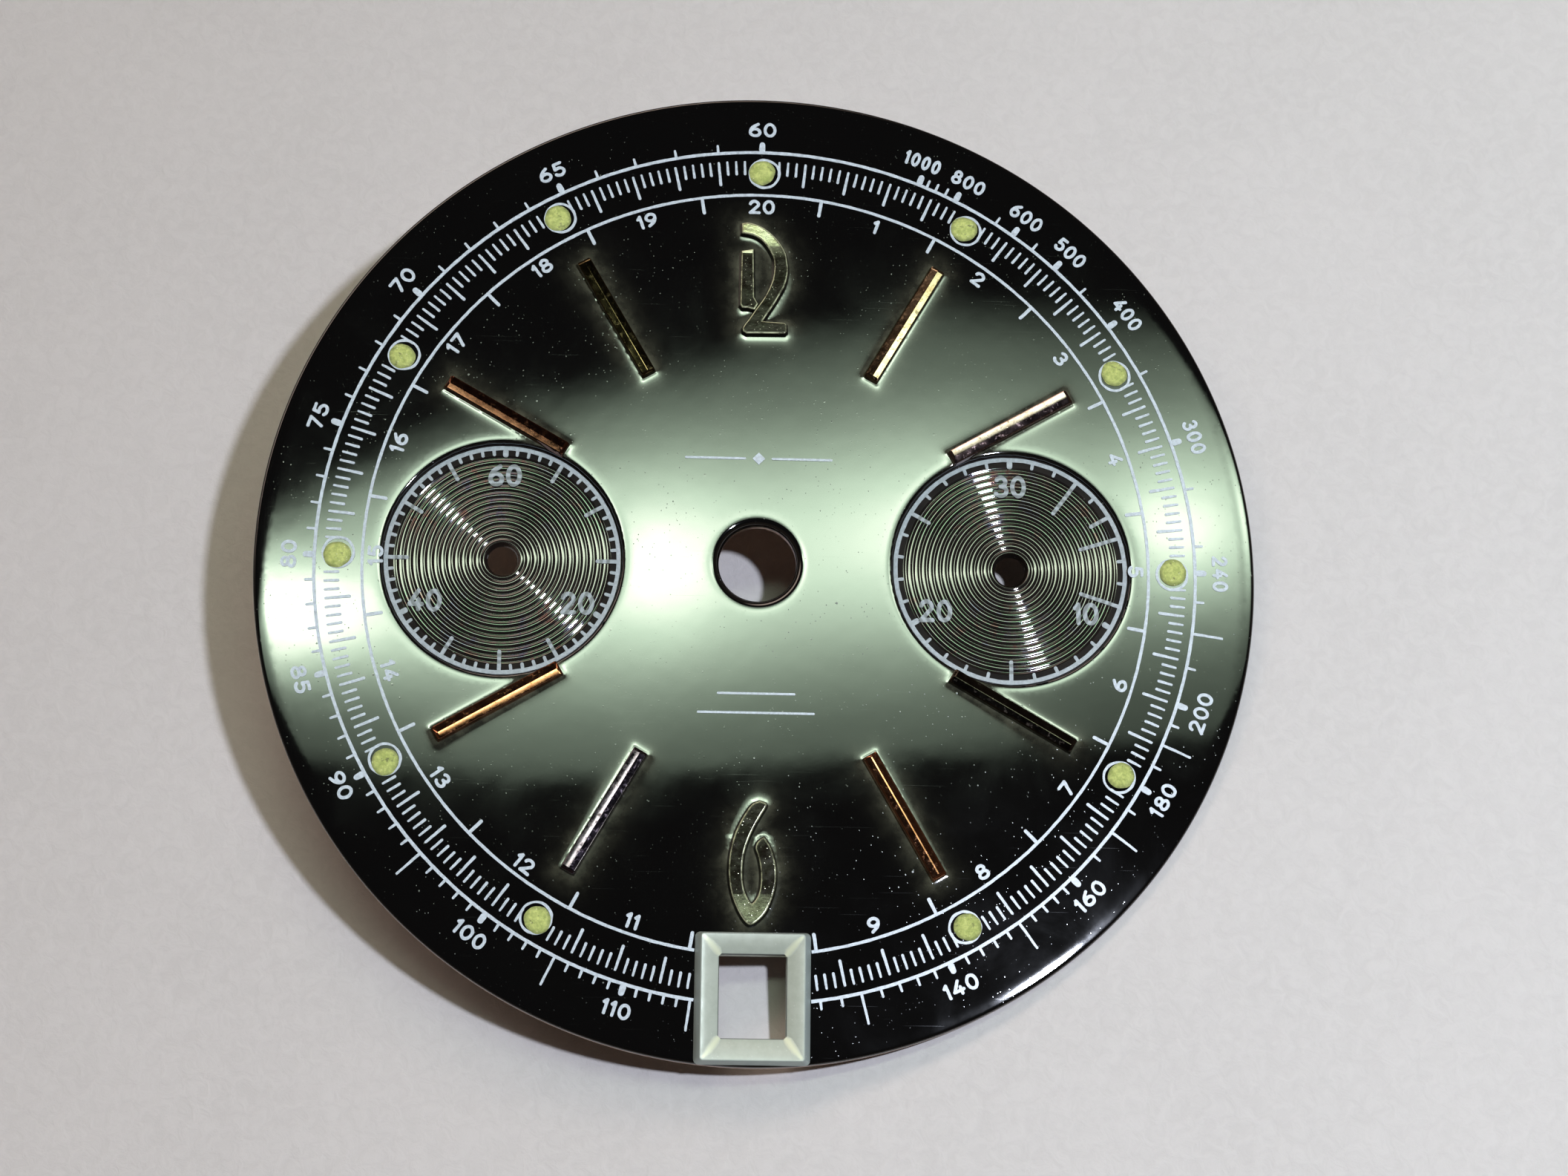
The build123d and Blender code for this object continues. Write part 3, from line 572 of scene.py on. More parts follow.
TWO = (spline([(-0.62, 11.10), (-0.43, 11.12), (-0.14, 11.05), (0.16, 10.89), (0.45, 10.62), (0.645, 10.35), (0.76, 10.10),
               (0.81, 9.82), (0.835, 9.60), (0.815, 9.36), (0.74, 9.05), (0.61, 8.78), (0.45, 8.48), (0.28, 8.20), (0.04, 7.82)])
       + [(0.74, 7.78), (0.80, 7.74), (0.81, 7.50), (0.76, 7.44), (-0.44, 7.42), (-0.54, 7.48), (-0.56, 7.58), (-0.48, 7.72)]
       + spline([(-0.36, 7.88), (-0.16, 8.20), (0.07, 8.54), (0.23, 8.84), (0.355, 9.17), (0.405, 9.42), (0.42, 9.70),
                 (0.39, 9.96), (0.29, 10.19), (0.13, 10.44), (-0.06, 10.62), (-0.31, 10.74), (-0.61, 10.79)]))
ONE = [(-0.62, 10.17), (-0.26, 10.24), (-0.245, 9.5), (-0.225, 8.62), (-0.10, 8.40), (-0.20, 8.22), (-0.42, 8.27),
       (-0.58, 8.27), (-0.64, 8.36)]
SIX = (spline([(0.14, -7.52), (-0.08, -7.62), (-0.30, -7.93), (-0.47, -8.25), (-0.60, -8.57), (-0.70, -8.96), (-0.75, -9.35),
               (-0.755, -9.73), (-0.71, -10.12), (-0.63, -10.44), (-0.50, -10.77), (-0.34, -11.06), (-0.20, -11.22),
               (-0.10, -11.26), (0.03, -11.21), (0.255, -11.01), (0.41, -10.77), (0.54, -10.44), (0.625, -10.12),
               (0.65, -9.80), (0.635, -9.48), (0.56, -9.15), (0.465, -8.89), (0.29, -8.62)])
       + spline([(0.18, -8.68), (0.08, -8.80), (0.045, -8.96), (0.11, -9.15), (0.175, -9.41), (0.215, -9.73),
                 (0.205, -10.06), (0.16, -10.31), (0.08, -10.49), (-0.06, -10.64), (-0.175, -10.51), (-0.285, -10.28),
                 (-0.35, -9.99), (-0.37, -9.64), (-0.35, -9.31), (-0.30, -9.02), (-0.175, -8.64), (-0.01, -8.28),
                 (0.18, -7.93), (0.335, -7.66), (0.31, -7.57)]))


def solid_field(polys, p):
    """Distance inside (positive) or outside (negative) of a union of polygons."""
    best = np.full(len(p), -1e9)
    for poly in polys:
        d = poly_dist(p, poly)
        best = np.maximum(best, np.where(inside(p, poly), d, -d))
    return best


def marker_gap(p):
    """Distance from points on the plate to the nearest marker or numeral foot."""
    best = np.full(len(p), 1e9)
    for h in MARK_HOURS:
        c = np.array(clock((MARK_IN + MARK_OUT) / 2, 30 * h))
        near = np.hypot(*(p - c).T) < 3.2
        if near.any():
            q = p[near]
            out = to_marker(h, rounded_box(0.25, 2.17, 0.03))
            d = poly_dist(q, out)
            best[near] = np.minimum(best[near], np.where(inside(q, out), 0.0, d))
    for polys, cy in (((TWO, ONE), 9.3), ((SIX,), -9.4)):
        near = np.hypot(p[:, 0], p[:, 1] - cy) < 3.0
        if near.any():
            best[near] = np.minimum(best[near], np.clip(-solid_field(polys, p[near]) - 0.07, 0, None))
    return best


# -------------------------------------------------------------------- the plate
def plate_top():
    """Points of the crowned face and its constraint loops."""
    loops = [(circle(0, 0, 15.41, 720), False), (circle(0, 0, HOLE_R + HOLE_LIP, 160), True)]
    lip = 0.07
    for sx in (-1, 1):
        loops.append((circle(sx * SUB_X, 0, SUB_OPEN_R + lip, 360), True))
    wy, hw, hh = DATE_Y + WINDOW_UP, 1.13, 1.37
    rect = []
    for (x0, y0), (x1, y1) in zip([(-hw, -hh), (hw, -hh), (hw, hh), (-hw, hh)], [(hw, -hh), (hw, hh), (-hw, hh), (-hw, -hh)]):
        for t in np.linspace(0, 1, 10, endpoint=False):
            rect.append((x0 + (x1 - x0) * t, wy + y0 + (y1 - y0) * t))
    loops.append((np.array(rect), True))
    free = []
    step = 0.27
    ys = np.arange(-15.4, 15.4, step * 0.866)
    for k, y in enumerate(ys):
        xs = np.arange(-15.4, 15.4, step) + (step / 2 if k % 2 else 0)
        free.append(np.c_[xs, np.full(len(xs), y)])
    for r, n in ((1.43, 160), (1.5, 150), (1.6, 140), (1.75, 130)):
        free.append(circle(0, 0, r, n))
    for sx in (-1, 1):
        for r, n in ((3.80, 360), (3.86, 300), (3.95, 240), (4.1, 200)):
            free.append(circle(sx * SUB_X, 0, r, n))
    for r, n in ((15.36, 720), (15.29, 640), (15.20, 560), (15.10, 480), (14.95, 400)):
        free.append(circle(0, 0, r, n))
    for h in MARK_HOURS:
        for g in (0.0, 0.03, 0.07, 0.12, 0.19, 0.28, 0.40):
            out = to_marker(h, rounded_box(0.25 + g, 2.17 + g, 0.03 + g, 5))
            dense = []
            for a, b in zip(out, np.roll(out, -1, 0)):
                n = max(1, int(np.hypot(*(b - a)) / 0.10))
                dense += [a + (b - a) * t for t in np.linspace(0, 1, n, endpoint=False)]
            free.append(np.array(dense))
    fine = []
    for cy, polys in ((9.3, (TWO, ONE)), (-9.4, (SIX,))):
        gx, gy = np.meshgrid(np.arange(-1.5, 1.5, 0.06), np.arange(cy - 2.5, cy + 2.5, 0.06))
        q = np.c_[gx.ravel(), gy.ravel()]
        d = solid_field(polys, q)
        fine.append(q[(d < 0.06) & (d > -0.55)])
    free += fine
    p = np.concatenate(free)
    r = np.hypot(p[:, 0], p[:, 1])
    keep = (r < 15.385) & (r > HOLE_R + HOLE_LIP + 0.015)
    for sx in (-1, 1):
        keep &= np.hypot(p[:, 0] - sx * SUB_X, p[:, 1]) > SUB_OPEN_R + lip + 0.015
    keep &= ~((abs(p[:, 0]) < hw + 0.03) & (abs(p[:, 1] - wy) < hh + 0.03))
    p = p[keep]
    key = np.round(p / 0.03).astype(int)
    _, first = np.unique(key[:, 0] * 100003 + key[:, 1], return_index=True)
    p = p[np.sort(first)]
    return p, loops


def rise(p):
    """Lacquer creeping up the feet of the markers, and thinning at the cut edges."""
    g = marker_gap(p)
    z = 0.008 * np.exp(-g / 0.065) + 0.0014 * np.exp(-g / 0.28)
    low = (np.abs(p[:, 0]) < 1.2) & (np.abs(p[:, 1] + 10.2) < 1.6)
    z += low * 0.006 * np.exp(-g / 0.10)
    r = np.hypot(p[:, 0], p[:, 1])
    z += -0.006 * np.exp(-np.clip(r - 1.40, 0, None) / 0.07)
    for sx in (-1, 1):
        d = np.hypot(p[:, 0] - sx * SUB_X, p[:, 1]) - SUB_OPEN_R
        z += -0.007 * np.exp(-np.clip(d - 0.07, 0, None) / 0.07)
    return z, g


def build_plate():
    pts, loops = plate_top()
    verts = [tuple(q) for q in pts]
    edges = []
    spans = []
    for loop, hole in loops:
        a = len(verts)
        verts += [tuple(q) for q in loop]
        n = len(loop)
        spans.append((a, n))
        edges += [(a + k, a + (k + 1) % n) for k in range(n)]
    out = delaunay_2d_cdt([Vector(v) for v in verts], edges, [], 0, 1e-6)
    nv, faces, orig = out[0], out[2], out[3]
    q = np.array([(v.x, v.y) for v in nv])
    first = {}
    for k, o in enumerate(orig):
        for j in o:
            first[j] = k
    tri = np.array([f for f in faces if len(f) == 3])
    mid = q[tri].mean(1)
    keep = np.hypot(*mid.T) < 15.4099
    keep &= np.hypot(*mid.T) > HOLE_R + HOLE_LIP - 1e-4
    for sx in (-1, 1):
        keep &= np.hypot(mid[:, 0] - sx * SUB_X, mid[:, 1]) > SUB_OPEN_R + 0.07 - 1e-3
    keep &= ~((abs(mid[:, 0]) < 1.13) & (abs(mid[:, 1] - DATE_Y - WINDOW_UP) < 1.37))
    tri = tri[keep]
    lift, gap = rise(q)
    z = face_z(q[:, 0], q[:, 1]) + lift
    s = Shell()
    s.add(np.c_[q, z], tri)
    top_n = s.n
    ring = []
    for (a, n) in spans:
        ring.append([first[a + k] for k in range(n)])

    def drop(ids, target, flip):
        """Joins a loop of existing vertices to new ones."""
        base = s.add(target)
        n = len(ids)
        for k in range(n):
            f = [ids[k], ids[(k + 1) % n], base + (k + 1) % n, base + k]
            s.f.append(f if flip else f[::-1])
        return list(range(base, base + n))

    # rim: rounded front edge, side, back bevel, flat seat and crowned back
    ids = ring[0]
    xy = q[ids]
    unit = xy / np.hypot(*xy.T)[:, None]
    z0 = z[ids]
    for a in (18, 36, 54, 72, 90):
        rr = 15.41 + 0.09 * math.sin(math.radians(a))
        dz = 0.09 * (1 - math.cos(math.radians(a)))
        ids = drop(ids, np.c_[unit * rr, z0 - dz], False)
    ids = drop(ids, np.c_[unit * 15.50, np.full(len(ids), 0.06)], False)
    rim_seat = drop(ids, np.c_[unit * 15.44, np.zeros(len(ids))], False)

    # openings: rounded lips and walls down to the back
    ends = []
    for k, (cx, r0, lip, seat) in enumerate(((0.0, HOLE_R, HOLE_LIP, None), (-SUB_X, SUB_OPEN_R, 0.07, DISC_Z1),
                                             (SUB_X, SUB_OPEN_R, 0.07, DISC_Z1))):
        ids = ring[k + 1]
        c = np.array([cx, 0.0])
        unit = (q[ids] - c) / np.hypot(*(q[ids] - c).T)[:, None]
        z0 = z[ids]
        ang = np.degrees(np.arctan2(unit[:, 0], unit[:, 1])) % 360
        for a in (22, 45, 68, 90):
            rr = r0 + lip * (1 - math.sin(math.radians(a)))
            wob = 0.0
            if k and a > 40:
                wob = 0.012 * hash_noise(np.c_[ang * 0.35, np.full(len(ang), k * 9.0)], 1.0, 3)
            ids = drop(ids, np.c_[c + unit * (rr + np.zeros(len(ids)) + wob)[:, None], z0 - lip * (1 - math.cos(math.radians(a)))], True)
        low = np.full(len(ids), seat) if seat else back_z(*(c + unit * r0).T)
        ids = drop(ids, np.c_[c + unit * r0, low], True)
        if seat:
            ids = drop(ids, np.c_[c + unit * SUB_SEAT_R, np.full(len(ids), seat)], True)
            ids = drop(ids, np.c_[c + unit * SUB_SEAT_R, back_z(*(c + unit * SUB_SEAT_R).T)], True)
        ends.append(ids)
    ids = ring[4]
    ends.append(drop(ids, np.c_[q[ids], back_z(*q[ids].T)], True))

    # crowned back between those loops
    v = s.verts()
    loops_back = [rim_seat] + ends
    bv, be, src = [], [], []
    for ids in loops_back:
        a = len(bv)
        bv += [tuple(v[i][:2]) for i in ids]
        src += ids
        be += [(a + k, a + (k + 1) % len(ids)) for k in range(len(ids))]
    gx, gy = np.meshgrid(np.arange(-13, 13.1, 0.65), np.arange(-13, 13.1, 0.65))
    g = np.c_[gx.ravel(), gy.ravel()]
    g = np.concatenate([g[np.hypot(*g.T) < 13.0], circle(0, 0, 13.20, 240), circle(0, 0, 14.3, 240)])
    ok = np.hypot(*g.T) > 1.35
    for sx in (-1, 1):
        ok &= np.hypot(g[:, 0] - sx * SUB_X, g[:, 1]) > SUB_SEAT_R + 0.1
    ok &= ~((abs(g[:, 0]) < 1.3) & (abs(g[:, 1] - DATE_Y) < 1.6))
    g = g[ok]
    nb = len(bv)
    bv += [tuple(t) for t in g]
    out = delaunay_2d_cdt([Vector(t) for t in bv], be, [], 0, 1e-6)
    bq = np.array([(t.x, t.y) for t in out[0]])
    link = {}
    for k, o in enumerate(out[3]):
        for j in o:
            if j < nb:
                link[k] = src[j]
    extra = [k for k in range(len(bq)) if k not in link]
    base = s.add(np.c_[bq[extra], back_z(*bq[extra].T)])
    for k, e in enumerate(extra):
        link[e] = base + k
    bt = np.array([f for f in out[2] if len(f) == 3])
    mid = bq[bt].mean(1)
    keep = (np.hypot(*mid.T) > HOLE_R) & (np.hypot(*mid.T) < 15.4399)
    for sx in (-1, 1):
        keep &= np.hypot(mid[:, 0] - sx * SUB_X, mid[:, 1]) > SUB_SEAT_R - 1e-3
    keep &= ~((abs(mid[:, 0]) < 1.13) & (abs(mid[:, 1] - DATE_Y - WINDOW_UP) < 1.37))
    for t in bt[keep]:
        s.f.append([link[i] for i in t][::-1])
    verts = s.verts()
    # painted highlight: how strong the pale glow painted into the lacquer is near the feet of the markers
    painted_glow = np.zeros(len(verts))
    painted_glow[:top_n] = np.exp(-gap / 0.20)
    return verts, s.f, painted_glow


pv, pf, painted_glow = build_plate()
plate = make("dial_plate_lacquered", pv, pf, PLATE, ["dial_plate"], 32.0, {"painted_glow": painted_glow})
# bare metal shows on the back and low on the rim
plate.data.materials.append(BARE)
zc = np.array([np.mean([pv[i][2] for i in f]) for f in pf]) if len(pf) < 400000 else None
nz = np.zeros(len(plate.data.polygons) * 3, np.float32)
plate.data.polygons.foreach_get("normal", nz)
nz = nz.reshape(-1, 3)[:, 2]
cen = np.zeros(len(plate.data.polygons) * 3, np.float32)
plate.data.polygons.foreach_get("center", cen)
cen = cen.reshape(-1, 3) * 1000
rc = np.hypot(cen[:, 0], cen[:, 1])
bare = (nz < -0.5) | ((rc > 15.45) & (cen[:, 2] < 0.155)) | ((rc < 1.25) & (cen[:, 2] < 0.26))
plate.data.polygons.foreach_set("material_index", bare.astype(np.int32))
plate.data.update()

# ------------------------------------------------------------- sub-dial floors
for cx, name, node, slot_name in ((-SUB_X, "seconds_floor", "seconds_subdial_disc", "subdial_seconds"),
                                  (SUB_X, "minutes_floor", "minutes_subdial_disc", "subdial_minutes")):
    prof = [(SUB_HOLE_R - 0.08, DISC_Z0), (SUB_HOLE_R - 0.03, DISC_Z0 + 0.08), (SUB_HOLE_R, DISC_Z1 - 0.03), (SUB_HOLE_R + 0.012, DISC_Z1 - 0.012), (SUB_HOLE_R + 0.03, DISC_Z1 - 0.004)]
    pitch, first, count = 0.2145, 0.575, 13
    # one groove: broad round crests and narrow troughs
    fine = np.linspace(0, 1, 241)
    slope = 0.300 * np.sin(2 * np.pi * fine - 0.55 * np.sin(2 * np.pi * fine))
    slope = slope - slope[1:].mean()
    depth = np.concatenate([[0], np.cumsum((slope[1:] + slope[:-1]) / 2)]) * pitch / 240
    groove = [(fine[k], depth[k]) for k in range(0, 240, 12)]
    for k in range(count):
        r0 = first + k * pitch
        for t, drop in groove:
            prof.append((r0 + pitch * t, DISC_Z1 - 0.001 - drop))
    end = first + count * pitch
    prof += [(end, DISC_Z1 - 0.001), (end + 0.03, DISC_Z1), (end + 0.2, DISC_Z1), (SUB_DISC_R, DISC_Z1), (SUB_DISC_R, DISC_Z0)]
    prof = np.array(prof)
    n = 360
    t = np.linspace(0, 2 * np.pi, n, endpoint=False)
    rr, tt = np.meshgrid(prof[:, 0], t, indexing="ij")
    zz = np.repeat(prof[:, 1][:, None], n, 1)
    v = np.c_[(cx + rr * np.cos(tt)).ravel(), (rr * np.sin(tt)).ravel(), zz.ravel()]
    f = []
    m = len(prof)
    for i in range(m):
        j = (i + 1) % m
        a, b = i * n, j * n
        for k in range(n):
            f.append([a + k, b + k, b + (k + 1) % n, a + (k + 1) % n])
    disc = make(name, v, f, FLOORS, [node], 28.0)
    # the flat outer band is dull
    disc.data.materials.append(BAND)
    flat = [prof[i, 0] > end - 0.03 and prof[(i + 1) % m, 0] > end - 0.03 and prof[i, 1] > 0.2 for i in range(m)]
    disc.data.polygons.foreach_set("material_index", np.repeat(np.array(flat, np.int32), n))
    disc.data.update()

# -------------------------------------------------------------------- dial feet
for node, deg in FOOT_ANGLES.items():
    fx, fy = clock(14.05, deg)
    s = Shell()
    prof = [(0.58, 0.0), (0.65, -0.012), (0.60, -0.05), (0.50, -0.075), (0.43, -0.10), (0.402, -0.14), (0.40, -0.20),
            (0.40, 0.10 - FOOT_LEN), (0.385, 0.05 - FOOT_LEN), (0.34, 0.01 - FOOT_LEN), (0.30, -FOOT_LEN)]
    n = 48
    loops = [np.c_[circle(fx, fy, r, n), np.full(n, z)] for r, z in prof[::-1]]
    loops_solid(s, loops)
    make(node + "_soldered", s.verts(), s.f, BARE, [node], 40.0)

# ------------------------------------------------------------- applied batons
# each top is a row of long facets: (where the facet ends, how far it leans clockwise);
# the markers don't all sit dead level
ROOFS = {
    1: [(-0.185, -0.30), (0.015, -0.24), (0.025, -0.05), (0.198, 0.07), (0.215, 0.20)],
    2: [(-0.190, -0.06), (-0.035, 0.02), (0.015, 0.085), (0.070, 0.24), (0.185, 0.30), (0.215, 0.34)],
    4: [(-0.185, -0.32), (0.015, -0.25), (0.030, -0.08), (0.190, 0.21), (0.215, 0.28)],
    5: [(-0.185, -0.34), (-0.016, -0.27), (0.022, -0.085), (0.190, 0.12), (0.215, 0.26)],
    7: [(-0.203, 0.085), (-0.188, 0.108), (-0.010, -0.07), (0.035, 0.070), (0.080, 0.092), (0.130, 0.106), (0.190, 0.122), (0.215, 0.25)],
    8: [(-0.190, -0.038), (-0.090, -0.034), (-0.020, 0.028), (0.190, 0.12), (0.215, 0.20)],
    10: [(-0.190, -0.056), (-0.150, -0.075), (-0.030, -0.088), (0.190, 0.12), (0.215, 0.22)],
    11: [(-0.190, -0.28), (-0.175, 0.0), (-0.006, 0.03), (0.010, -0.100), (0.190, 0.11), (0.215, 0.24)],
}
for h in MARK_HOURS:
    light, dark = TONES[h]
    mat = metal(f"marker_metal_{h}", light, dark, 0.085, 0.35, (0.03, 0.018, 0.012), 0.08)
    s = Shell()
    xs, zs = [-0.215], [0.0]
    for stop, lean in ROOFS[h]:
        zs.append(zs[-1] - lean * (stop - xs[-1]))
        xs.append(stop)
    xs, zs = np.array(xs), np.array(zs)
    zs += 0.268 - zs.max()
    walls = [(0.25, 2.17, 0.0, 0.03), (0.242, 2.162, 0.05, 0.035), (0.232, 2.150, 0.165, 0.05), (0.229, 2.146, 0.185, 0.055)]

    def ring_at(w, l, r, zfun):
        """Outline with fixed parameters: both long sides and both ends."""
        pts = rounded_box(w, l, r, 5)
        return np.c_[pts, [zfun(*q) for q in pts]]

    def roof(x, y):
        z = float(np.interp(x, xs, zs))
        end = 2.13 - abs(y)
        return z - 0.045 * max(0.0, 1 - end / 0.09)**2

    loops = [ring_at(w, l, r, lambda x, y, z=z: z) for w, l, z, r in walls]
    loops.append(ring_at(0.222, 2.138, 0.058, lambda x, y: max(roof(x, y) - 0.007, 0.188)))
    loops.append(ring_at(0.215, 2.130, 0.058, lambda x, y: max(roof(x, y), 0.190)))
    at = []
    for l in loops:
        xy = to_marker(h, l[:, :2])
        at.append(s.add(np.c_[xy, face_z(xy[:, 0], xy[:, 1]) + l[:, 2]]))
    nloop = len(loops[0])
    for a, b in zip(at, at[1:]):
        s.bridge(a, b, nloop)
    s.f.append([at[0] + k for k in range(nloop)][::-1])
    # the top is a grid inside the last loop
    edge = loops[-1]
    gx = xs[1:-1]
    gy = np.unique(np.concatenate([np.linspace(-1.9, 1.9, 20), [-2.11, -2.09, -2.07, -2.04, -1.98, 1.98, 2.04, 2.07, 2.09, 2.11]]))
    grid = np.array([(x, y) for y in gy for x in gx if not (abs(x) > 0.17 and abs(y) > 2.08)])
    cdt_in = [Vector(q) for q in edge[:, :2].tolist()] + [Vector(q) for q in grid.tolist()]
    res = delaunay_2d_cdt(cdt_in, [(k, (k + 1) % nloop) for k in range(nloop)], [], 1, 1e-6)
    link, extra = {}, []
    for k, (v, o) in enumerate(zip(res[0], res[3])):
        on = [j for j in o if j < nloop]
        if on:
            link[k] = at[-1] + on[0]
        else:
            link[k] = s.n + len(extra)
            extra.append((v.x, v.y, max(roof(v.x, v.y), 0.190)))
    extra = np.array(extra)
    xy = to_marker(h, extra[:, :2])
    s.add(np.c_[xy, face_z(xy[:, 0], xy[:, 1]) + extra[:, 2]])
    for t in res[2]:
        s.f.append([link[i] for i in t])
    make(f"baton_{h}", s.verts(), s.f, mat, [f"hour_marker_{h}"], 4.5)


# ------------------------------------------------------------ applied numerals
def numeral(name, polys, cy, node, mat):
    step = 0.0155
    xs = np.arange(-1.0, 1.0 + step, step)
    ys = np.arange(cy - 2.15, cy + 2.1, step)
    gx, gy = np.meshgrid(xs, ys)
    field = solid_field(polys, np.c_[gx.ravel(), gy.ravel()]).reshape(gx.shape)
    pos, faces, edges = region(field, xs, ys, -0.07)
    d = solid_field(polys, pos)
    z = np.interp(d, [-0.07, -0.022, -0.004, 0.012, 0.030, 0.060], [0.0, 0.175, 0.208, 0.222, 0.226, 0.226])
    # the tops lean a little near the far ends
    z = z + 0.033 * np.clip(pos[:, 1] - 10.35, 0, None) + 0.040 * np.clip(-10.35 - pos[:, 1], 0, None)
    z = np.where(d < -0.0699, 0.0, z)
    base = face_z(pos[:, 0], pos[:, 1])
    s = Shell()
    s.add(np.c_[pos, base + z], faces)
    n = len(pos)
    used = sorted({i for e in edges for i in e})
    low = {i: n + k for k, i in enumerate(used)}
    s.add(np.c_[pos[used], base[used] - 0.0 + 0.0005])
    # the foot of the wall is on the face, so the boundary only needs its underside
    v = s.verts()
    for i in used:
        v[i, 2] = base[i] + 0.004
    faces = list(s.f)
    for a, b in edges:
        faces.append([b, a, low[a], low[b]])
    # underside
    bottom = {}
    extra = []
    for f in list(s.f):
        g = []
        for i in f:
            if i in low:
                g.append(low[i])
            else:
                if i not in bottom:
                    bottom[i] = len(v) + len(extra)
                    extra.append((pos[i][0], pos[i][1], base[i] + 0.0005))
                g.append(bottom[i])
        faces.append(g[::-1])
    if extra:
        v = np.concatenate([v, np.array(extra)])
    # painted highlight: 1 along the rounded edge of the top and on the top end of the 1; painted shade: a separate
    # mark on the walls
    edge = np.zeros(len(v))
    edge[:n] = np.exp(-((d - 0.008) / 0.014)**2)
    tip = (pos[:, 0] < -0.2) & (pos[:, 1] > 10.10) & (pos[:, 1] < 10.4)
    edge[:n] = np.maximum(edge[:n], tip * np.clip(d / 0.02, 0, 1))
    wall = np.zeros(len(v))
    wall[:n] = np.clip((-0.008 - d) / 0.01, 0, 1)
    return make(name, v, faces, mat, [node], 40.0, {"edge": edge, "wall": wall})


def numeral_metal(name, y_lo, y_hi, up, bright):
    """Polished tops that have gone olive and brown, painted paler towards one end as a highlight, with painted glints
    along the edges and painted shade on the walls.
    """
    m = Mat(name)
    m.put(Metallic=0.5, IOR=1.5)
    sep = m.new("SeparateXYZ")
    m.wire(m.mm, sep.inputs[0])
    # painted highlight: the top runs from a dark tone to a pale tone towards one end, and bright sets how strong it
    # is
    along = m.ramp(sep.outputs[1], y_lo, y_hi) if up else m.ramp(sep.outputs[1], y_hi, y_lo)
    cloud = m.ramp(m.noise(2.1, 5.0, 0.7, None, 0.3), 0.34, 0.66)
    dark_end_tone = m.mix(cloud, (0.018, 0.016, 0.007), (0.014, 0.008, 0.005))
    painted_pale_end = m.mix(cloud, tuple(c * bright for c in (0.80, 0.80, 0.52)), tuple(c * bright for c in (0.40, 0.37, 0.18)))
    col = m.mix(along, dark_end_tone, painted_pale_end)
    pits = m.math("MAXIMUM", m.dust(8.0, 0.20, 0.30, 2.2), m.dust(15.0, 0.22, 0.25, 5.9))
    col = m.mix(m.math("MULTIPLY", pits, 0.6), col, (0.70, 0.69, 0.50))
    # painted highlight: pale glints along the rounded top edges and the top end of the 1
    painted_edge_glint = m.math("MULTIPLY", m.attr("edge"), m.ramp(m.noise(5.0, 3.0, 0.6), 0.34, 0.58, 0.30, 1.0))
    col = m.mix(painted_edge_glint, col, (0.95, 0.98, 0.62))
    # painted shade: the walls are made near black
    col = m.mix(m.attr("wall"), col, (0.006, 0.005, 0.004))
    m.wire(col, m.b.inputs["Base Color"])
    m.wire(m.math("ADD", m.ramp(m.noise(3.3, 4.0), 0.3, 0.8, 0.10, 0.22), m.math("MULTIPLY", painted_edge_glint, 0.35)), m.b.inputs["Roughness"])
    m.bump(m.math("ADD", m.noise(5.0, 3.0, 0.6), m.math("MULTIPLY", pits, 0.7)), 0.25, 0.000012)
    return m.m


numeral("applied_12", (TWO, ONE), 9.3, "numeral_12", numeral_metal("numeral_metal_12", 9.9, 11.0, True, 0.85))
numeral("applied_6", (SIX,), -9.4, "numeral_6", numeral_metal("numeral_metal_6", -10.95, -10.15, False, 0.16))

# ----------------------------------------------------------------- date frame
def satin_silver(name):
    """Cream-silver plating, with painted light: a painted highlight along the mitres, painted shade on the outer
    sides and a near-black painted shade on the inner walls.
    """
    m = Mat(name)
    m.put(Metallic=0.15, IOR=1.4)
    col = m.mix(m.ramp(m.noise(2.4, 4.0, 0.65), 0.35, 0.68), (0.625, 0.675, 0.575), (0.565, 0.615, 0.515))
    # painted highlight on the mitres, painted shade on the outer sides and the inner walls
    col = m.mix(m.attr("mitre"), col, (0.88, 0.92, 0.68))
    col = m.mix(m.attr("outer"), col, (0.40, 0.46, 0.43))
    col = m.mix(m.attr("inner"), col, (0.030, 0.034, 0.042))
    col = m.mix(m.math("MULTIPLY", m.dust(7.0, 0.20, 0.22, 3.3), 0.5), col, (0.80, 0.84, 0.76))
    m.wire(col, m.b.inputs["Base Color"])
    m.wire(m.ramp(m.noise(3.0, 3.0), 0.3, 0.8, 0.40, 0.58), m.b.inputs["Roughness"])
    m.bump(m.noise(4.0, 3.0, 0.6), 0.04, 0.00001)
    return m.m


FRAME_METAL = satin_silver("frame_satin_silver")


def frame_loop(hw, hh, corner, cy, z, per=6, chamfer=False):
    """Loop of 4 * per points. Corners are round, or cut straight when chamfer is set."""
    pts = []
    for sx, sy, a0 in ((1, 1, 0), (-1, 1, 90), (-1, -1, 180), (1, -1, 270)):
        for k in range(per):
            t = k / (per - 1)
            if chamfer:
                if a0 in (0, 180):
                    px, py = (hw, hh - corner * (1 - t)), None
                    x, y = hw - corner * t, hh - corner * (1 - t)
                else:
                    x, y = hw - corner * (1 - t), hh - corner * t
            else:
                a = math.radians(90 * t) if a0 in (0, 180) else math.radians(90 * (1 - t))
                x, y = hw - corner + corner * math.cos(a), hh - corner + corner * math.sin(a)
            pts.append((sx * x, cy + sy * y, z))
    return np.array(pts)


def tilt(pts):
    """Lays a loop given in the frame's own plane on the crowned face."""
    ref = float(face_z(0, DATE_Y))
    slope = DATE_Y / math.sqrt(DOME_R**2 - DATE_Y**2)
    out = pts.copy()
    out[:, 2] = ref - slope * (pts[:, 1] - DATE_Y) + pts[:, 2]
    return out


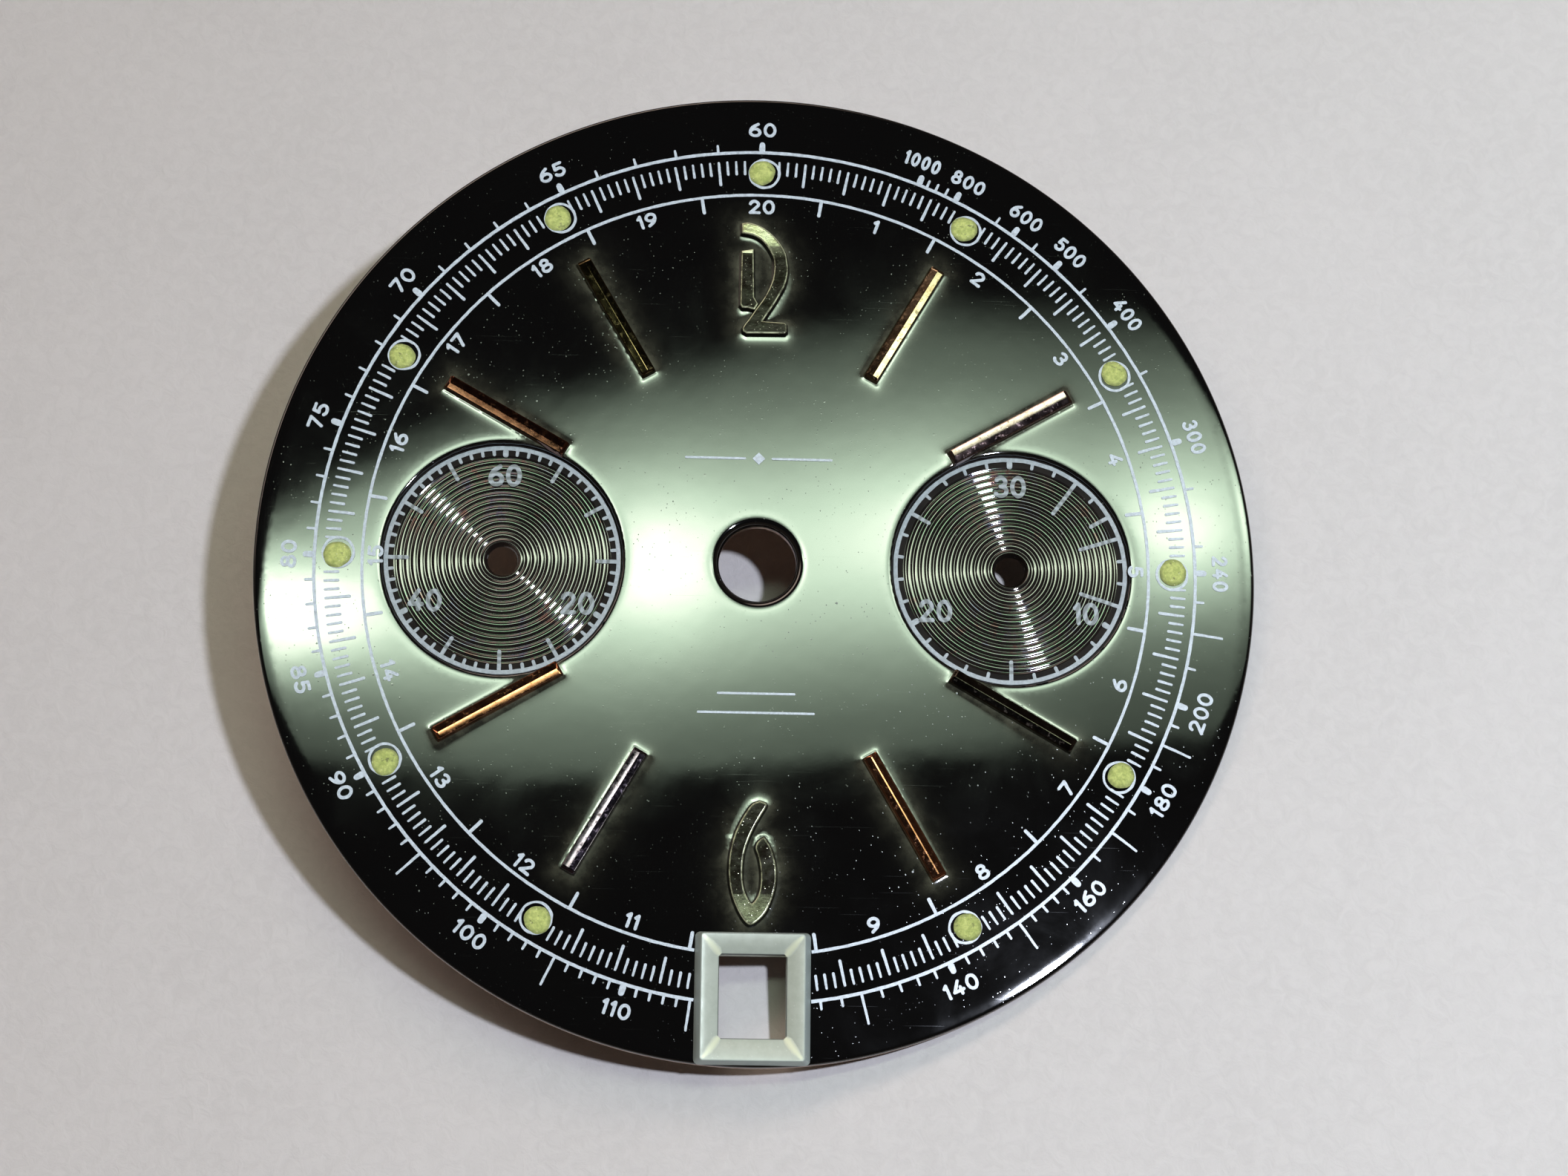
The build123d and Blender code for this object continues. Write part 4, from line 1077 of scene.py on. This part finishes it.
s = Shell()
wy = DATE_Y + WINDOW_UP
L = [
    frame_loop(FRAME_OPEN[0] / 2 + 0.10, FRAME_OPEN[1] / 2 + 0.10, 0.02, wy, 0.003),
    frame_loop(FRAME_BASE[0] / 2 - 0.004, FRAME_BASE[1] / 2 - 0.004, 0.16, DATE_Y, 0.003),
    frame_loop(FRAME_BASE[0] / 2, FRAME_BASE[1] / 2, 0.16, DATE_Y, 0.015),
    frame_loop(FRAME_BASE[0] / 2 - 0.06, FRAME_BASE[1] / 2 - 0.03, 0.15, DATE_Y, 0.17),
    frame_loop(FRAME_TOP[0] / 2 + 0.022, FRAME_TOP[1] / 2 + 0.012, 0.11, DATE_Y, 0.375),
    frame_loop(FRAME_TOP[0] / 2, FRAME_TOP[1] / 2, 0.09, DATE_Y, 0.403),
    frame_loop(FRAME_TOP[0] / 2 - 0.022, FRAME_TOP[1] / 2 - 0.022, 0.07, DATE_Y, 0.413),
    frame_loop(FRAME_TOP[0] / 2 - 0.05, FRAME_TOP[1] / 2 - 0.05, 0.09, DATE_Y, 0.408, chamfer=True),
    frame_loop(FRAME_TOP[0] / 2 - 0.20, FRAME_TOP[1] / 2 - 0.22, 0.19, DATE_Y + 0.012, 0.345, chamfer=True),
    frame_loop(FRAME_OPEN[0] / 2 + 0.16, FRAME_OPEN[1] / 2 + 0.18, 0.21, wy, 0.205, chamfer=True),
    frame_loop(FRAME_OPEN[0] / 2 + 0.035, FRAME_OPEN[1] / 2 + 0.035, 0.12, wy, 0.130, chamfer=True),
    frame_loop(FRAME_OPEN[0] / 2 + 0.008, FRAME_OPEN[1] / 2 + 0.008, 0.03, wy, 0.105),
    frame_loop(FRAME_OPEN[0] / 2, FRAME_OPEN[1] / 2, 0.02, wy, 0.085),
    frame_loop(FRAME_OPEN[0] / 2, FRAME_OPEN[1] / 2, 0.02, wy, 0.020),
    frame_loop(FRAME_OPEN[0] / 2, FRAME_OPEN[1] / 2, 0.02, wy, 0.000),
    frame_loop(FRAME_OPEN[0] / 2, FRAME_OPEN[1] / 2, 0.02, wy, -0.32),
    frame_loop(FRAME_OPEN[0] / 2 + 0.10, FRAME_OPEN[1] / 2 + 0.10, 0.02, wy, -0.32),
]
L = [tilt(l) for l in L]
n = len(L[0])
at = [s.add(l) for l in L]
for a, b in zip(at, at[1:] + at[:1]):
    s.bridge(a, b, n)
# painted light masks: a painted highlight along the bevel mitres, and painted shade on the inner walls and the outer
# sides
corner = np.tile(np.sin(np.pi * np.arange(6) / 5), 4)
mitre = np.concatenate([corner * (1.0 if 7 <= k <= 10 else 0.0) for k in range(len(L))])
inner = np.concatenate([np.full(n, 1.0 if k in (12, 13) else 0.85 if k == 11 else 0.0) for k in range(len(L))])
outer = np.concatenate([np.full(n, 1.0 if 1 <= k <= 4 else 0.7 if k == 5 else 0.35 if k == 6 else 0.0) for k in range(len(L))])
make("date_frame_bevelled", s.verts(), s.f, FRAME_METAL, ["date_frame"], 16.0,
     {"mitre": mitre, "inner": inner, "outer": outer})

# ----------------------------------------------------------------- lume dots
for k, h in enumerate(DOT_HOURS):
    cx, cy = clock(DOT_ORBIT, 30 * h)
    nr, na = 12, 56
    t = np.linspace(0, 2 * np.pi, na, endpoint=False)
    size = 0.416 + 0.010 * math.sin(k * 2.7)
    edge = size * (1 + 0.030 * np.sin(2 * t + k * 1.7) + 0.022 * np.sin(3 * t + k * 0.9) + 0.012 * np.sin(7 * t + k * 2.2))
    edge = np.minimum(edge, 0.430)
    rows = []
    for i in range(nr + 1):
        u = i / nr
        rr = edge * (1 - u) if i else edge
        x, y = cx + rr * np.cos(t), cy + rr * np.sin(t)
        dome = 0.022 + 0.072 * (1 - (1 - u)**2.2)
        bumpy = 0.010 * hash_noise(np.c_[x, y], 6.0, 11 + k) + 0.006 * hash_noise(np.c_[x, y], 13.0, 23 + k)
        rows.append(np.c_[x, y, face_z(x, y) + dome + bumpy * min(1.0, 4 * u + 0.2)])
    s = Shell()
    foot = np.c_[cx + edge * np.cos(t), cy + edge * np.sin(t), face_z(cx + edge * np.cos(t), cy + edge * np.sin(t)) + 0.001]
    at = [s.add(foot)] + [s.add(r) for r in rows[:-1]]
    for a, b in zip(at, at[1:]):
        s.bridge(a, b, na)
    tip = s.add([rows[-1].mean(0)])
    for j in range(na):
        s.f.append([at[-1] + j, at[-1] + (j + 1) % na, tip])
    s.f.append([at[0] + j for j in range(na)][::-1])
    border = np.zeros(s.n)
    for i in range(nr):
        border[(i + 1) * na:(i + 2) * na] = math.exp(-(i / nr / 0.20)**2)
    border[:na] = 1.0
    make(f"lume_{h}", s.verts(), s.f, LUME, [f"lume_dot_{h}"], 60.0, {"border": border})

# -------------------------------------------------------------------- prints
INK_T = 0.016
INK_Z = 0.0015


def lay_on_face(x, y):
    g = np.full(len(x), 0.0)
    return face_z(x, y) + g


def film(shell, pos, faces, edges, height, surface):
    """Adds a thin raised region: top, walls and underside."""
    zb = surface(pos[:, 0], pos[:, 1]) + INK_Z
    n = len(pos)
    a = shell.add(np.c_[pos, zb + height])
    b = shell.add(np.c_[pos, zb])
    for f in faces:
        shell.f.append([a + i for i in f])
        shell.f.append([b + i for i in f][::-1])
    for i, j in edges:
        shell.f.append([a + j, a + i, b + i, b + j])


def stroke_poly(length, width, taper=1.0, seed=0):
    """Round-ended bar along +y from 0 to length, as one outline."""
    r = width / 2
    out = []
    r2 = r * taper
    for a in np.linspace(0, 180, 9):
        out.append((r2 * math.cos(math.radians(a)), length - r2 + r2 * math.sin(math.radians(a))))
    for a in np.linspace(180, 360, 9):
        out.append((r * math.cos(math.radians(a)), r + r * math.sin(math.radians(a))))
    # a few points on the flanks so that they can waver
    res = []
    for p, q in zip(out, out[1:] + out[:1]):
        res.append(p)
        d = math.hypot(q[0] - p[0], q[1] - p[1])
        m = int(d / 0.12)
        for k in range(1, m):
            res.append((p[0] + (q[0] - p[0]) * k / m, p[1] + (q[1] - p[1]) * k / m))
    return np.array(res)


def put_stroke(shell, r_in, r_out, deg, width, surface, cx=0.0, taper=0.85, seed=0):
    pts = stroke_poly(r_out - r_in, width, taper)
    a = math.radians(deg)
    x = cx + pts[:, 0] * math.cos(a) + (pts[:, 1] + r_in) * math.sin(a)
    y = -pts[:, 0] * math.sin(a) + (pts[:, 1] + r_in) * math.cos(a)
    p = np.c_[x, y]
    w = 0.006
    p = p + w * np.c_[hash_noise(p, 9.0, 31 + seed), hash_noise(p, 9.0, 47 + seed)]
    n = len(p)
    film(shell, p, [list(range(n))], [(k, (k + 1) % n) for k in range(n)], INK_T, surface)


def put_ring(shell, cx, cy, radius, width, surface, a0=0.0, a1=360.0, n=720, wobble=0.006):
    """Ring or arc of print; angles are clockwise from 12."""
    whole = a1 - a0 >= 359.99
    t = np.radians(np.linspace(a0, a1, n, endpoint=not whole))
    u = np.c_[np.sin(t), np.cos(t)]
    p0 = np.array([cx, cy]) + u * (radius - width / 2)
    p1 = np.array([cx, cy]) + u * (radius + width / 2)
    p0 = p0 + u * (wobble * hash_noise(p0, 6.0, 5))[:, None]
    p1 = p1 + u * (wobble * hash_noise(p1, 6.0, 6))[:, None]
    pos = np.concatenate([p0, p1])
    faces, edges = [], []
    m = n if whole else n - 1
    for k in range(m):
        j = (k + 1) % n
        faces.append([j, k, n + k, n + j])
        edges += [(j, k), (n + k, n + j)]
    if not whole:
        edges += [(0, n), (2 * n - 1, n - 1)]
    film(shell, pos, faces, edges, INK_T * 0.98, surface)


def arc(cx, cy, rx, ry, a0, a1, n):
    return [(cx + rx * math.cos(math.radians(a0 + (a1 - a0) * k / n)),
             cy + ry * math.sin(math.radians(a0 + (a1 - a0) * k / n))) for k in range(n + 1)]


DIGITS = {
    "0": ([arc(0.30, 0.5, 0.30, 0.5, 0, 360, 32)], 0.60),
    "1": ([[(0.0, 0.80), (0.17, 1.0), (0.17, 0.0)]], 0.20),
    "2": ([arc(0.29, 0.72, 0.27, 0.28, 170, -30, 14) + [(0.0, 0.0), (0.60, 0.0)]], 0.60),
    "3": ([arc(0.28, 0.76, 0.24, 0.24, 150, -90, 14), arc(0.28, 0.26, 0.30, 0.26, 90, -150, 14)], 0.58),
    "4": ([[(0.44, 1.0), (0.0, 0.28), (0.62, 0.28)], [(0.45, 0.52), (0.45, 0.0)]], 0.62),
    "5": ([[(0.54, 1.0), (0.12, 1.0), (0.07, 0.56)] + arc(0.28, 0.31, 0.30, 0.31, 125, -150, 14)], 0.58),
    "6": ([[(0.50, 0.99)] + arc(0.55, 0.30, 0.55, 0.62, 118, 176, 8), arc(0.30, 0.29, 0.30, 0.29, 0, 360, 24)], 0.60),
    "7": ([[(0.0, 1.0), (0.57, 1.0), (0.20, 0.0)]], 0.57),
    "8": ([arc(0.30, 0.76, 0.23, 0.24, 0, 360, 22), arc(0.30, 0.26, 0.30, 0.26, 0, 360, 24)], 0.60),
    "9": ([[(0.10, 0.01)] + arc(0.05, 0.70, 0.55, 0.62, -62, -4, 8), arc(0.30, 0.71, 0.30, 0.29, 0, 360, 24)], 0.60),
}
SHAPES = {}


def digit(char, height, stroke, narrow):
    """Points, faces and boundary of one digit standing on y = 0, and its width."""
    key = (char, height, stroke, narrow)
    if key in SHAPES:
        return SHAPES[key]
    lines, width = DIGITS[char]
    tall = height - stroke
    wide = tall * 1.16 * narrow
    w = width * wide + stroke
    step = stroke / 4.5
    xs = np.arange(-step, w + 2 * step, step)
    ys = np.arange(-step, height + 2 * step, step)
    gx, gy = np.meshgrid(xs, ys)
    p = np.c_[gx.ravel(), gy.ravel()]
    best = np.full(len(p), 1e9)
    for line in lines:
        pts = [(stroke / 2 + x * wide, stroke / 2 + y * tall) for x, y in line]
        for a, b in zip(pts, pts[1:]):
            best = np.minimum(best, seg_dist(p, a, b))
    field = (stroke / 2 - best).reshape(gx.shape)
    pos, faces, edges = region(field, xs, ys, 0.0)
    SHAPES[key] = (pos, faces, edges, w)
    return SHAPES[key]


def put_digit(shell, char, height, stroke, narrow, px, py, turn, surface, seed):
    pos, faces, edges, w = digit(char, height, stroke, narrow)
    a = math.radians(turn)
    x, y = pos[:, 0] - w / 2, pos[:, 1] - height / 2
    p = np.c_[px + x * math.cos(a) - y * math.sin(a), py + x * math.sin(a) + y * math.cos(a)]
    p = p + 0.006 * np.c_[hash_noise(p, 8.0, seed), hash_noise(p, 8.0, seed + 17)]
    film(shell, p, faces, edges, INK_T, surface)


def put_round_number(shell, text, radius, deg, height, stroke, tops_out, narrow, gap, seed):
    widths = [digit(c, height, stroke, narrow)[3] for c in text]
    x = -(sum(widths) + gap * (len(text) - 1)) / 2
    for k, (c, w) in enumerate(zip(text, widths)):
        a = deg + math.degrees((x + w / 2) / radius) * (1 if tops_out else -1)
        px, py = clock(radius, a)
        put_digit(shell, c, height, stroke, narrow, px, py, -a if tops_out else 180 - a, lay_on_face, seed + k)
        x += w + gap


def put_flat_number(shell, cx, text, deg, orbit, surface, seed):
    px, py = clock(orbit, deg)
    widths = [digit(c, 0.73, 0.135, 0.87)[3] for c in text]
    x = cx + px - (sum(widths) + 0.05 * (len(text) - 1)) / 2
    for k, (c, w) in enumerate(zip(text, widths)):
        put_digit(shell, c, 0.73, 0.135, 0.87, x + w / 2, py, 0.0, surface, seed + k)
        x += w + 0.05


OUTER, INNER, RING_W = 13.63, 12.16, 0.10
NUMBERS = [60, 65, 70, 75, 80, 85, 90, 100, 110, 140, 160, 180, 200, 240, 300, 400, 500, 600, 800, 1000]
SHORT = ([n for n in range(61, 100) if n % 5] + [n for n in range(101, 115) if n % 5]
         + [126, 128, 132, 134, 136, 138, 142, 144, 146, 148, 152, 154, 156, 158, 165, 175, 185, 195, 210, 230,
            250, 275, 350, 450, 550, 650, 850, 900, 950])
LONG = [95, 105, 115, 130, 150, 170, 190, 220]

s = Shell()
gap = math.degrees(math.asin(1.76 / OUTER))
put_ring(s, 0, 0, OUTER, RING_W, lay_on_face, -180 + gap, 180 - gap, 1100)
for n in SHORT:
    put_stroke(s, OUTER + 0.02, 13.93, 21600 / n, 0.085, lay_on_face, seed=n)
for n in LONG:
    put_stroke(s, OUTER + 0.02, 14.60, 21600 / n, 0.085, lay_on_face, seed=n)
for n in NUMBERS:
    put_stroke(s, OUTER + 0.01, 13.99, 21600 / n, 0.20, lay_on_face, taper=0.9, seed=n)
make("tachymeter_scale_ink", s.verts(), s.f, INK, ["tachymeter_scale_print"], 40.0)

s = Shell()
for n in NUMBERS:
    deg = 21600 / n % 360
    wide = 0.66 if n == 1000 else 0.85 if n >= 240 else 1.04 if n >= 100 else 1.12
    # the two tightest figures are printed a little apart from their ticks
    at = deg + {1000: -0.65, 800: 0.35}.get(n, 0.0)
    put_round_number(s, str(n), 14.42, at, 0.50, 0.098, deg <= 91 or deg >= 269, wide, 0.065, n)
make("tachymeter_numbers_ink", s.verts(), s.f, INK, ["tachymeter_numbers_print"], 40.0)

s = Shell()
for k in range(300):
    deg = k * 1.2
    off = (deg + 15) % 30 - 15
    x, y = clock(12.85, deg)
    if (abs(off) < 1.3 and k != 150) or (y < 0 and abs(x) < FRAME_BASE[0] / 2 + 0.06):
        continue
    put_stroke(s, 12.51 if k % 5 == 0 else 12.85, 13.34, deg, 0.095 if k % 5 == 0 else 0.085, lay_on_face, taper=0.8, seed=k)
for h in DOT_HOURS:
    cx, cy = clock(DOT_ORBIT - 0.03, 30 * h + 0.35)
    put_ring(s, cx, cy, 0.474, 0.080, lay_on_face, n=96, wobble=0.012)
make("seconds_track_ink", s.verts(), s.f, INK, ["seconds_track_print"], 40.0)

s = Shell()
gap = math.degrees(math.asin(1.76 / INNER))
put_ring(s, 0, 0, INNER, RING_W * 0.92, lay_on_face, -180 + gap, 180 - gap, 1000)
for k in range(20):
    put_stroke(s, 11.60, INNER - 0.02, 9 + 18 * k, 0.105, lay_on_face, taper=1.0, seed=k)
make("decimal_scale_ink", s.verts(), s.f, INK, ["decimal_scale_print"], 40.0)

s = Shell()
for k in range(1, 21):
    if k == 10:
        continue
    deg = 18 * k % 360
    put_round_number(s, str(k), 11.76, deg, 0.49, 0.098, deg <= 91 or deg >= 269, 1.06, 0.065, 300 + k)
make("decimal_numbers_ink", s.verts(), s.f, INK, ["decimal_numbers_print"], 40.0)


def floor_z(x, y):
    return np.full(len(x), DISC_Z1)


for cx, name, node, n, bold, deep, nums in (
        (-SUB_X, "seconds_scale_ink", "seconds_subdial_print", 60, (0, 20, 40), (), (("60", 0), ("20", 120), ("40", 240))),
        (SUB_X, "minutes_scale_ink", "minutes_subdial_print", 30, (0, 10, 20), (3, 6, 9), (("30", 0), ("10", 120), ("20", 240)))):
    s = Shell()
    put_ring(s, cx, 0, 3.58, 0.13, floor_z, n=420)
    for k in range(n):
        deg = 360 / n * k
        if k in bold:
            put_stroke(s, 3.28, 3.56, deg, 0.17, floor_z, cx, 1.0, k)
        elif k in deep:
            put_stroke(s, 2.25, 3.56, deg, 0.12, floor_z, cx, 1.0, k)
        elif k % 5 == 0:
            put_stroke(s, 2.87, 3.56, deg, 0.12, floor_z, cx, 1.0, k)
        else:
            put_stroke(s, 3.33, 3.56, deg, 0.10, floor_z, cx, 1.0, k)
    for j, (text, deg) in enumerate(nums):
        put_flat_number(s, cx, text, deg, 2.70, floor_z, 500 + 10 * j)
    make(name, s.verts(), s.f, INK_LOW, [node], 40.0)

# plain rules and a small lozenge in the middle
s = Shell()
for x0, x1, y in ((-2.30, -0.40, 3.35), (0.40, 2.30, 3.35), (-1.20, 1.20, -4.15), (-1.80, 1.80, -4.75)):
    pts = stroke_poly(x1 - x0, 0.07)
    p = np.c_[x0 + pts[:, 1], y - pts[:, 0]]
    m = len(p)
    film(s, p, [list(range(m))], [(k, (k + 1) % m) for k in range(m)], INK_T, lay_on_face)
p = np.array([(0.198, 3.35), (0, 3.548), (-0.198, 3.35), (0, 3.152)])
film(s, p, [[0, 1, 2, 3]], [(k, (k + 1) % 4) for k in range(4)], INK_T, lay_on_face)
make("centre_rules_ink", s.verts(), s.f, INK, ["centre_rules_print"], 40.0)

# ------------------------------------------------------------------ the stage
me = bpy.data.meshes.new("floor")
ra = math.radians(REST_CLOCK)


def paper_z(x, y):
    """The sheet touches the rim at one spot and the tips of both feet."""
    return -REST_SLOPE * (15.44 - (x * math.sin(ra) + y * math.cos(ra))) - 0.004


half = 600.0
me.from_pydata([(x * 0.001, y * 0.001, paper_z(x, y) * 0.001) for x, y in ((-half, -half), (half, -half), (half, half), (-half, half))],
               [], [(0, 1, 2, 3)])
me.materials.append(paper())
floor = bpy.data.objects.new("floor", me)
bpy.context.scene.collection.objects.link(floor)

# world: dim overhead, paler towards the horizon, one broad soft panel high up
world = bpy.data.worlds.new("studio")
bpy.context.scene.world = world
world.use_nodes = True
wt = world.node_tree
bg = wt.nodes["Background"]
bg.inputs["Strength"].default_value = 1.0
tc = wt.nodes.new("ShaderNodeTexCoord")
sp = wt.nodes.new("ShaderNodeSeparateXYZ")
wt.links.new(tc.outputs["Generated"], sp.inputs[0])


def wmath(op, a, b=None, c=None):
    n = wt.nodes.new("ShaderNodeMath")
    n.operation = op
    for k, v in enumerate((a, b, c)):
        if v is None:
            continue
        if isinstance(v, (int, float)):
            n.inputs[k].default_value = v
        else:
            wt.links.new(v, n.inputs[k])
    return n.outputs[0]


def wramp(v, a, b, lo=0.0, hi=1.0):
    n = wt.nodes.new("ShaderNodeMapRange")
    n.interpolation_type = "SMOOTHSTEP"
    for k, x in zip(range(1, 5), (a, b, lo, hi)):
        n.inputs[k].default_value = x
    wt.links.new(v, n.inputs[0])
    return n.outputs[0]


def wcolor(fac, color):
    """A colour scaled by a factor."""
    n = wt.nodes.new("ShaderNodeVectorMath")
    n.operation = "SCALE"
    n.inputs[0].default_value = color
    wt.links.new(fac, n.inputs[3])
    return n.outputs[0]


def wadd(a, b):
    n = wt.nodes.new("ShaderNodeVectorMath")
    n.operation = "ADD"
    wt.links.new(a, n.inputs[0])
    wt.links.new(b, n.inputs[1])
    return n.outputs[0]


dx, dy, dz = sp.outputs
up = wmath("MAXIMUM", dz, 0.05)
u = wmath("DIVIDE", dx, up)
v = wmath("DIVIDE", dy, up)


above = wramp(dz, 0.2, 0.4)


def bell(x, centre, width):
    """Gaussian of a value about a centre, which may itself be a socket."""
    d = wmath("DIVIDE", wmath("SUBTRACT", x, centre), width)
    return wmath("EXPONENT", wmath("MULTIPLY", wmath("MULTIPLY", d, d), -0.5))


# the panel's bright middle line rises a little to the right
line = wmath("ADD", wmath("MULTIPLY", u, 0.145), 0.270)
line = wmath("ADD", line, wmath("MULTIPLY", wmath("MAXIMUM", wmath("SUBTRACT", -0.07, u), 0.0), 0.15))
glow = wmath("ADD", wmath("MULTIPLY", bell(v, line, wramp(u, -0.13, 0.0, 0.0300, 0.0345)), 0.74), 0.080)
ends = wmath("MULTIPLY", wramp(u, -0.165, -0.09, 0.56, 1.0), wramp(u, 0.11, 0.20, 1.0, 0.66))
glow = wmath("MULTIPLY", glow, ends)
for cu, su, cv, sv, k in ((-0.170, 0.034, 0.245, 0.0150, 1.20), (-0.004, 0.022, 0.270, 0.026, 0.42), (0.110, 0.026, 0.287, 0.026, 0.20),
                          (0.225, 0.022, 0.293, 0.019, 0.62), (0.335, 0.030, 0.318, 0.028, 0.50)):
    glow = wmath("ADD", glow, wmath("MULTIPLY", wmath("MULTIPLY", bell(u, cu, su), bell(v, cv, sv)), k))
# its upper edge climbs to the right and then levels off; the lower edge is crisp
upper = wmath("MINIMUM", wmath("ADD", wmath("MULTIPLY", u, 0.30), 0.361), 0.395)
upper = wmath("SUBTRACT", upper, wmath("MULTIPLY", wmath("MAXIMUM", wmath("SUBTRACT", -0.10, u), 0.0), 0.25))
lower = wmath("ADD", wmath("MULTIPLY", wmath("MAXIMUM", wmath("ADD", u, 0.02), 0.0), 0.10), 0.175)
lower = wmath("ADD", lower, wmath("MULTIPLY", wmath("MAXIMUM", wmath("SUBTRACT", -0.07, u), 0.0), 0.08))
inside_v = wmath("MULTIPLY", wramp(wmath("SUBTRACT", upper, v), -0.012, 0.020), wramp(wmath("SUBTRACT", v, lower), -0.006, 0.006))
inside_u = wmath("MULTIPLY", wramp(u, -0.34, -0.27), wramp(u, 0.46, 0.38))
panel = wmath("MULTIPLY", wmath("MULTIPLY", glow, wmath("MULTIPLY", inside_v, inside_u)), above)
total = wcolor(panel, (8.9, 11.4, 8.6))
hot = wmath("MULTIPLY", wramp(panel, 0.75, 1.3), 1.0)
total = wadd(total, wcolor(hot, (3.4, 1.6, 2.2)))
# weak warm light from low down all round
horizon = wramp(dz, 0.86, 0.60)
total = wadd(total, wcolor(horizon, (0.060, 0.044, 0.030)))
# and a wide soft patch of it from beyond 11 o'clock
flat_len = wmath("MAXIMUM", wmath("SQRT", wmath("ADD", wmath("MULTIPLY", dx, dx), wmath("MULTIPLY", dy, dy))), 0.05)
toward = wmath("DIVIDE", wmath("ADD", wmath("MULTIPLY", dx, -0.5), wmath("MULTIPLY", dy, 0.866)), flat_len)
patch = wmath("MULTIPLY", wmath("MULTIPLY", wramp(dz, 0.50, 0.60), wramp(dz, 0.785, 0.71)), wramp(toward, 0.70, 0.92))
total = wadd(total, wcolor(patch, (2.9, 2.30, 1.92)))
base = wt.nodes.new("ShaderNodeVectorMath")
base.operation = "ADD"
base.inputs[1].default_value = (0.012, 0.012, 0.014)
wt.links.new(total, base.inputs[0])
wt.links.new(base.outputs[0], bg.inputs["Color"])

# one small strong lamp on the right, near the camera
lamp_data = bpy.data.lights.new("lamp", "AREA")
lamp_data.shape = "DISK"
lamp_data.size = 0.0078
lamp_data.energy = 0.154
lamp_data.color = (0.79, 0.85, 1.0)
lamp = bpy.data.objects.new("lamp", lamp_data)
bpy.context.scene.collection.objects.link(lamp)
lamp.location = (0.0382, -0.0077, 0.1434)
lamp.rotation_mode = "QUATERNION"
lamp.rotation_quaternion = (-lamp.location).to_track_quat("-Z", "Y")

# ----------------------------------------------------------------- the camera
cam_data = bpy.data.cameras.new("camera")
cam_data.sensor_fit = "HORIZONTAL"
cam_data.sensor_width = 36.0
cam_data.lens = 73.2
cam_data.clip_start, cam_data.clip_end = 0.005, 5.0
cam = bpy.data.objects.new("camera", cam_data)
bpy.context.scene.collection.objects.link(cam)
rx, ry, rz = -0.2574, 0.0457, -0.0216
Rx = Matrix.Rotation(rx, 3, "X")
Ry = Matrix.Rotation(ry, 3, "Y")
Rz = Matrix.Rotation(rz, 3, "Z")
M = Rz @ Ry @ Rx
t = Vector((-0.82, 0.753, -98.57))
loc = -(M.transposed() @ t)
cam.matrix_world = Matrix.Translation(Vector((loc.x, loc.y, loc.z + 0.42)) * 0.001) @ M.transposed().to_4x4()
bpy.context.scene.camera = cam
bpy.context.scene.view_settings.view_transform = "Standard"
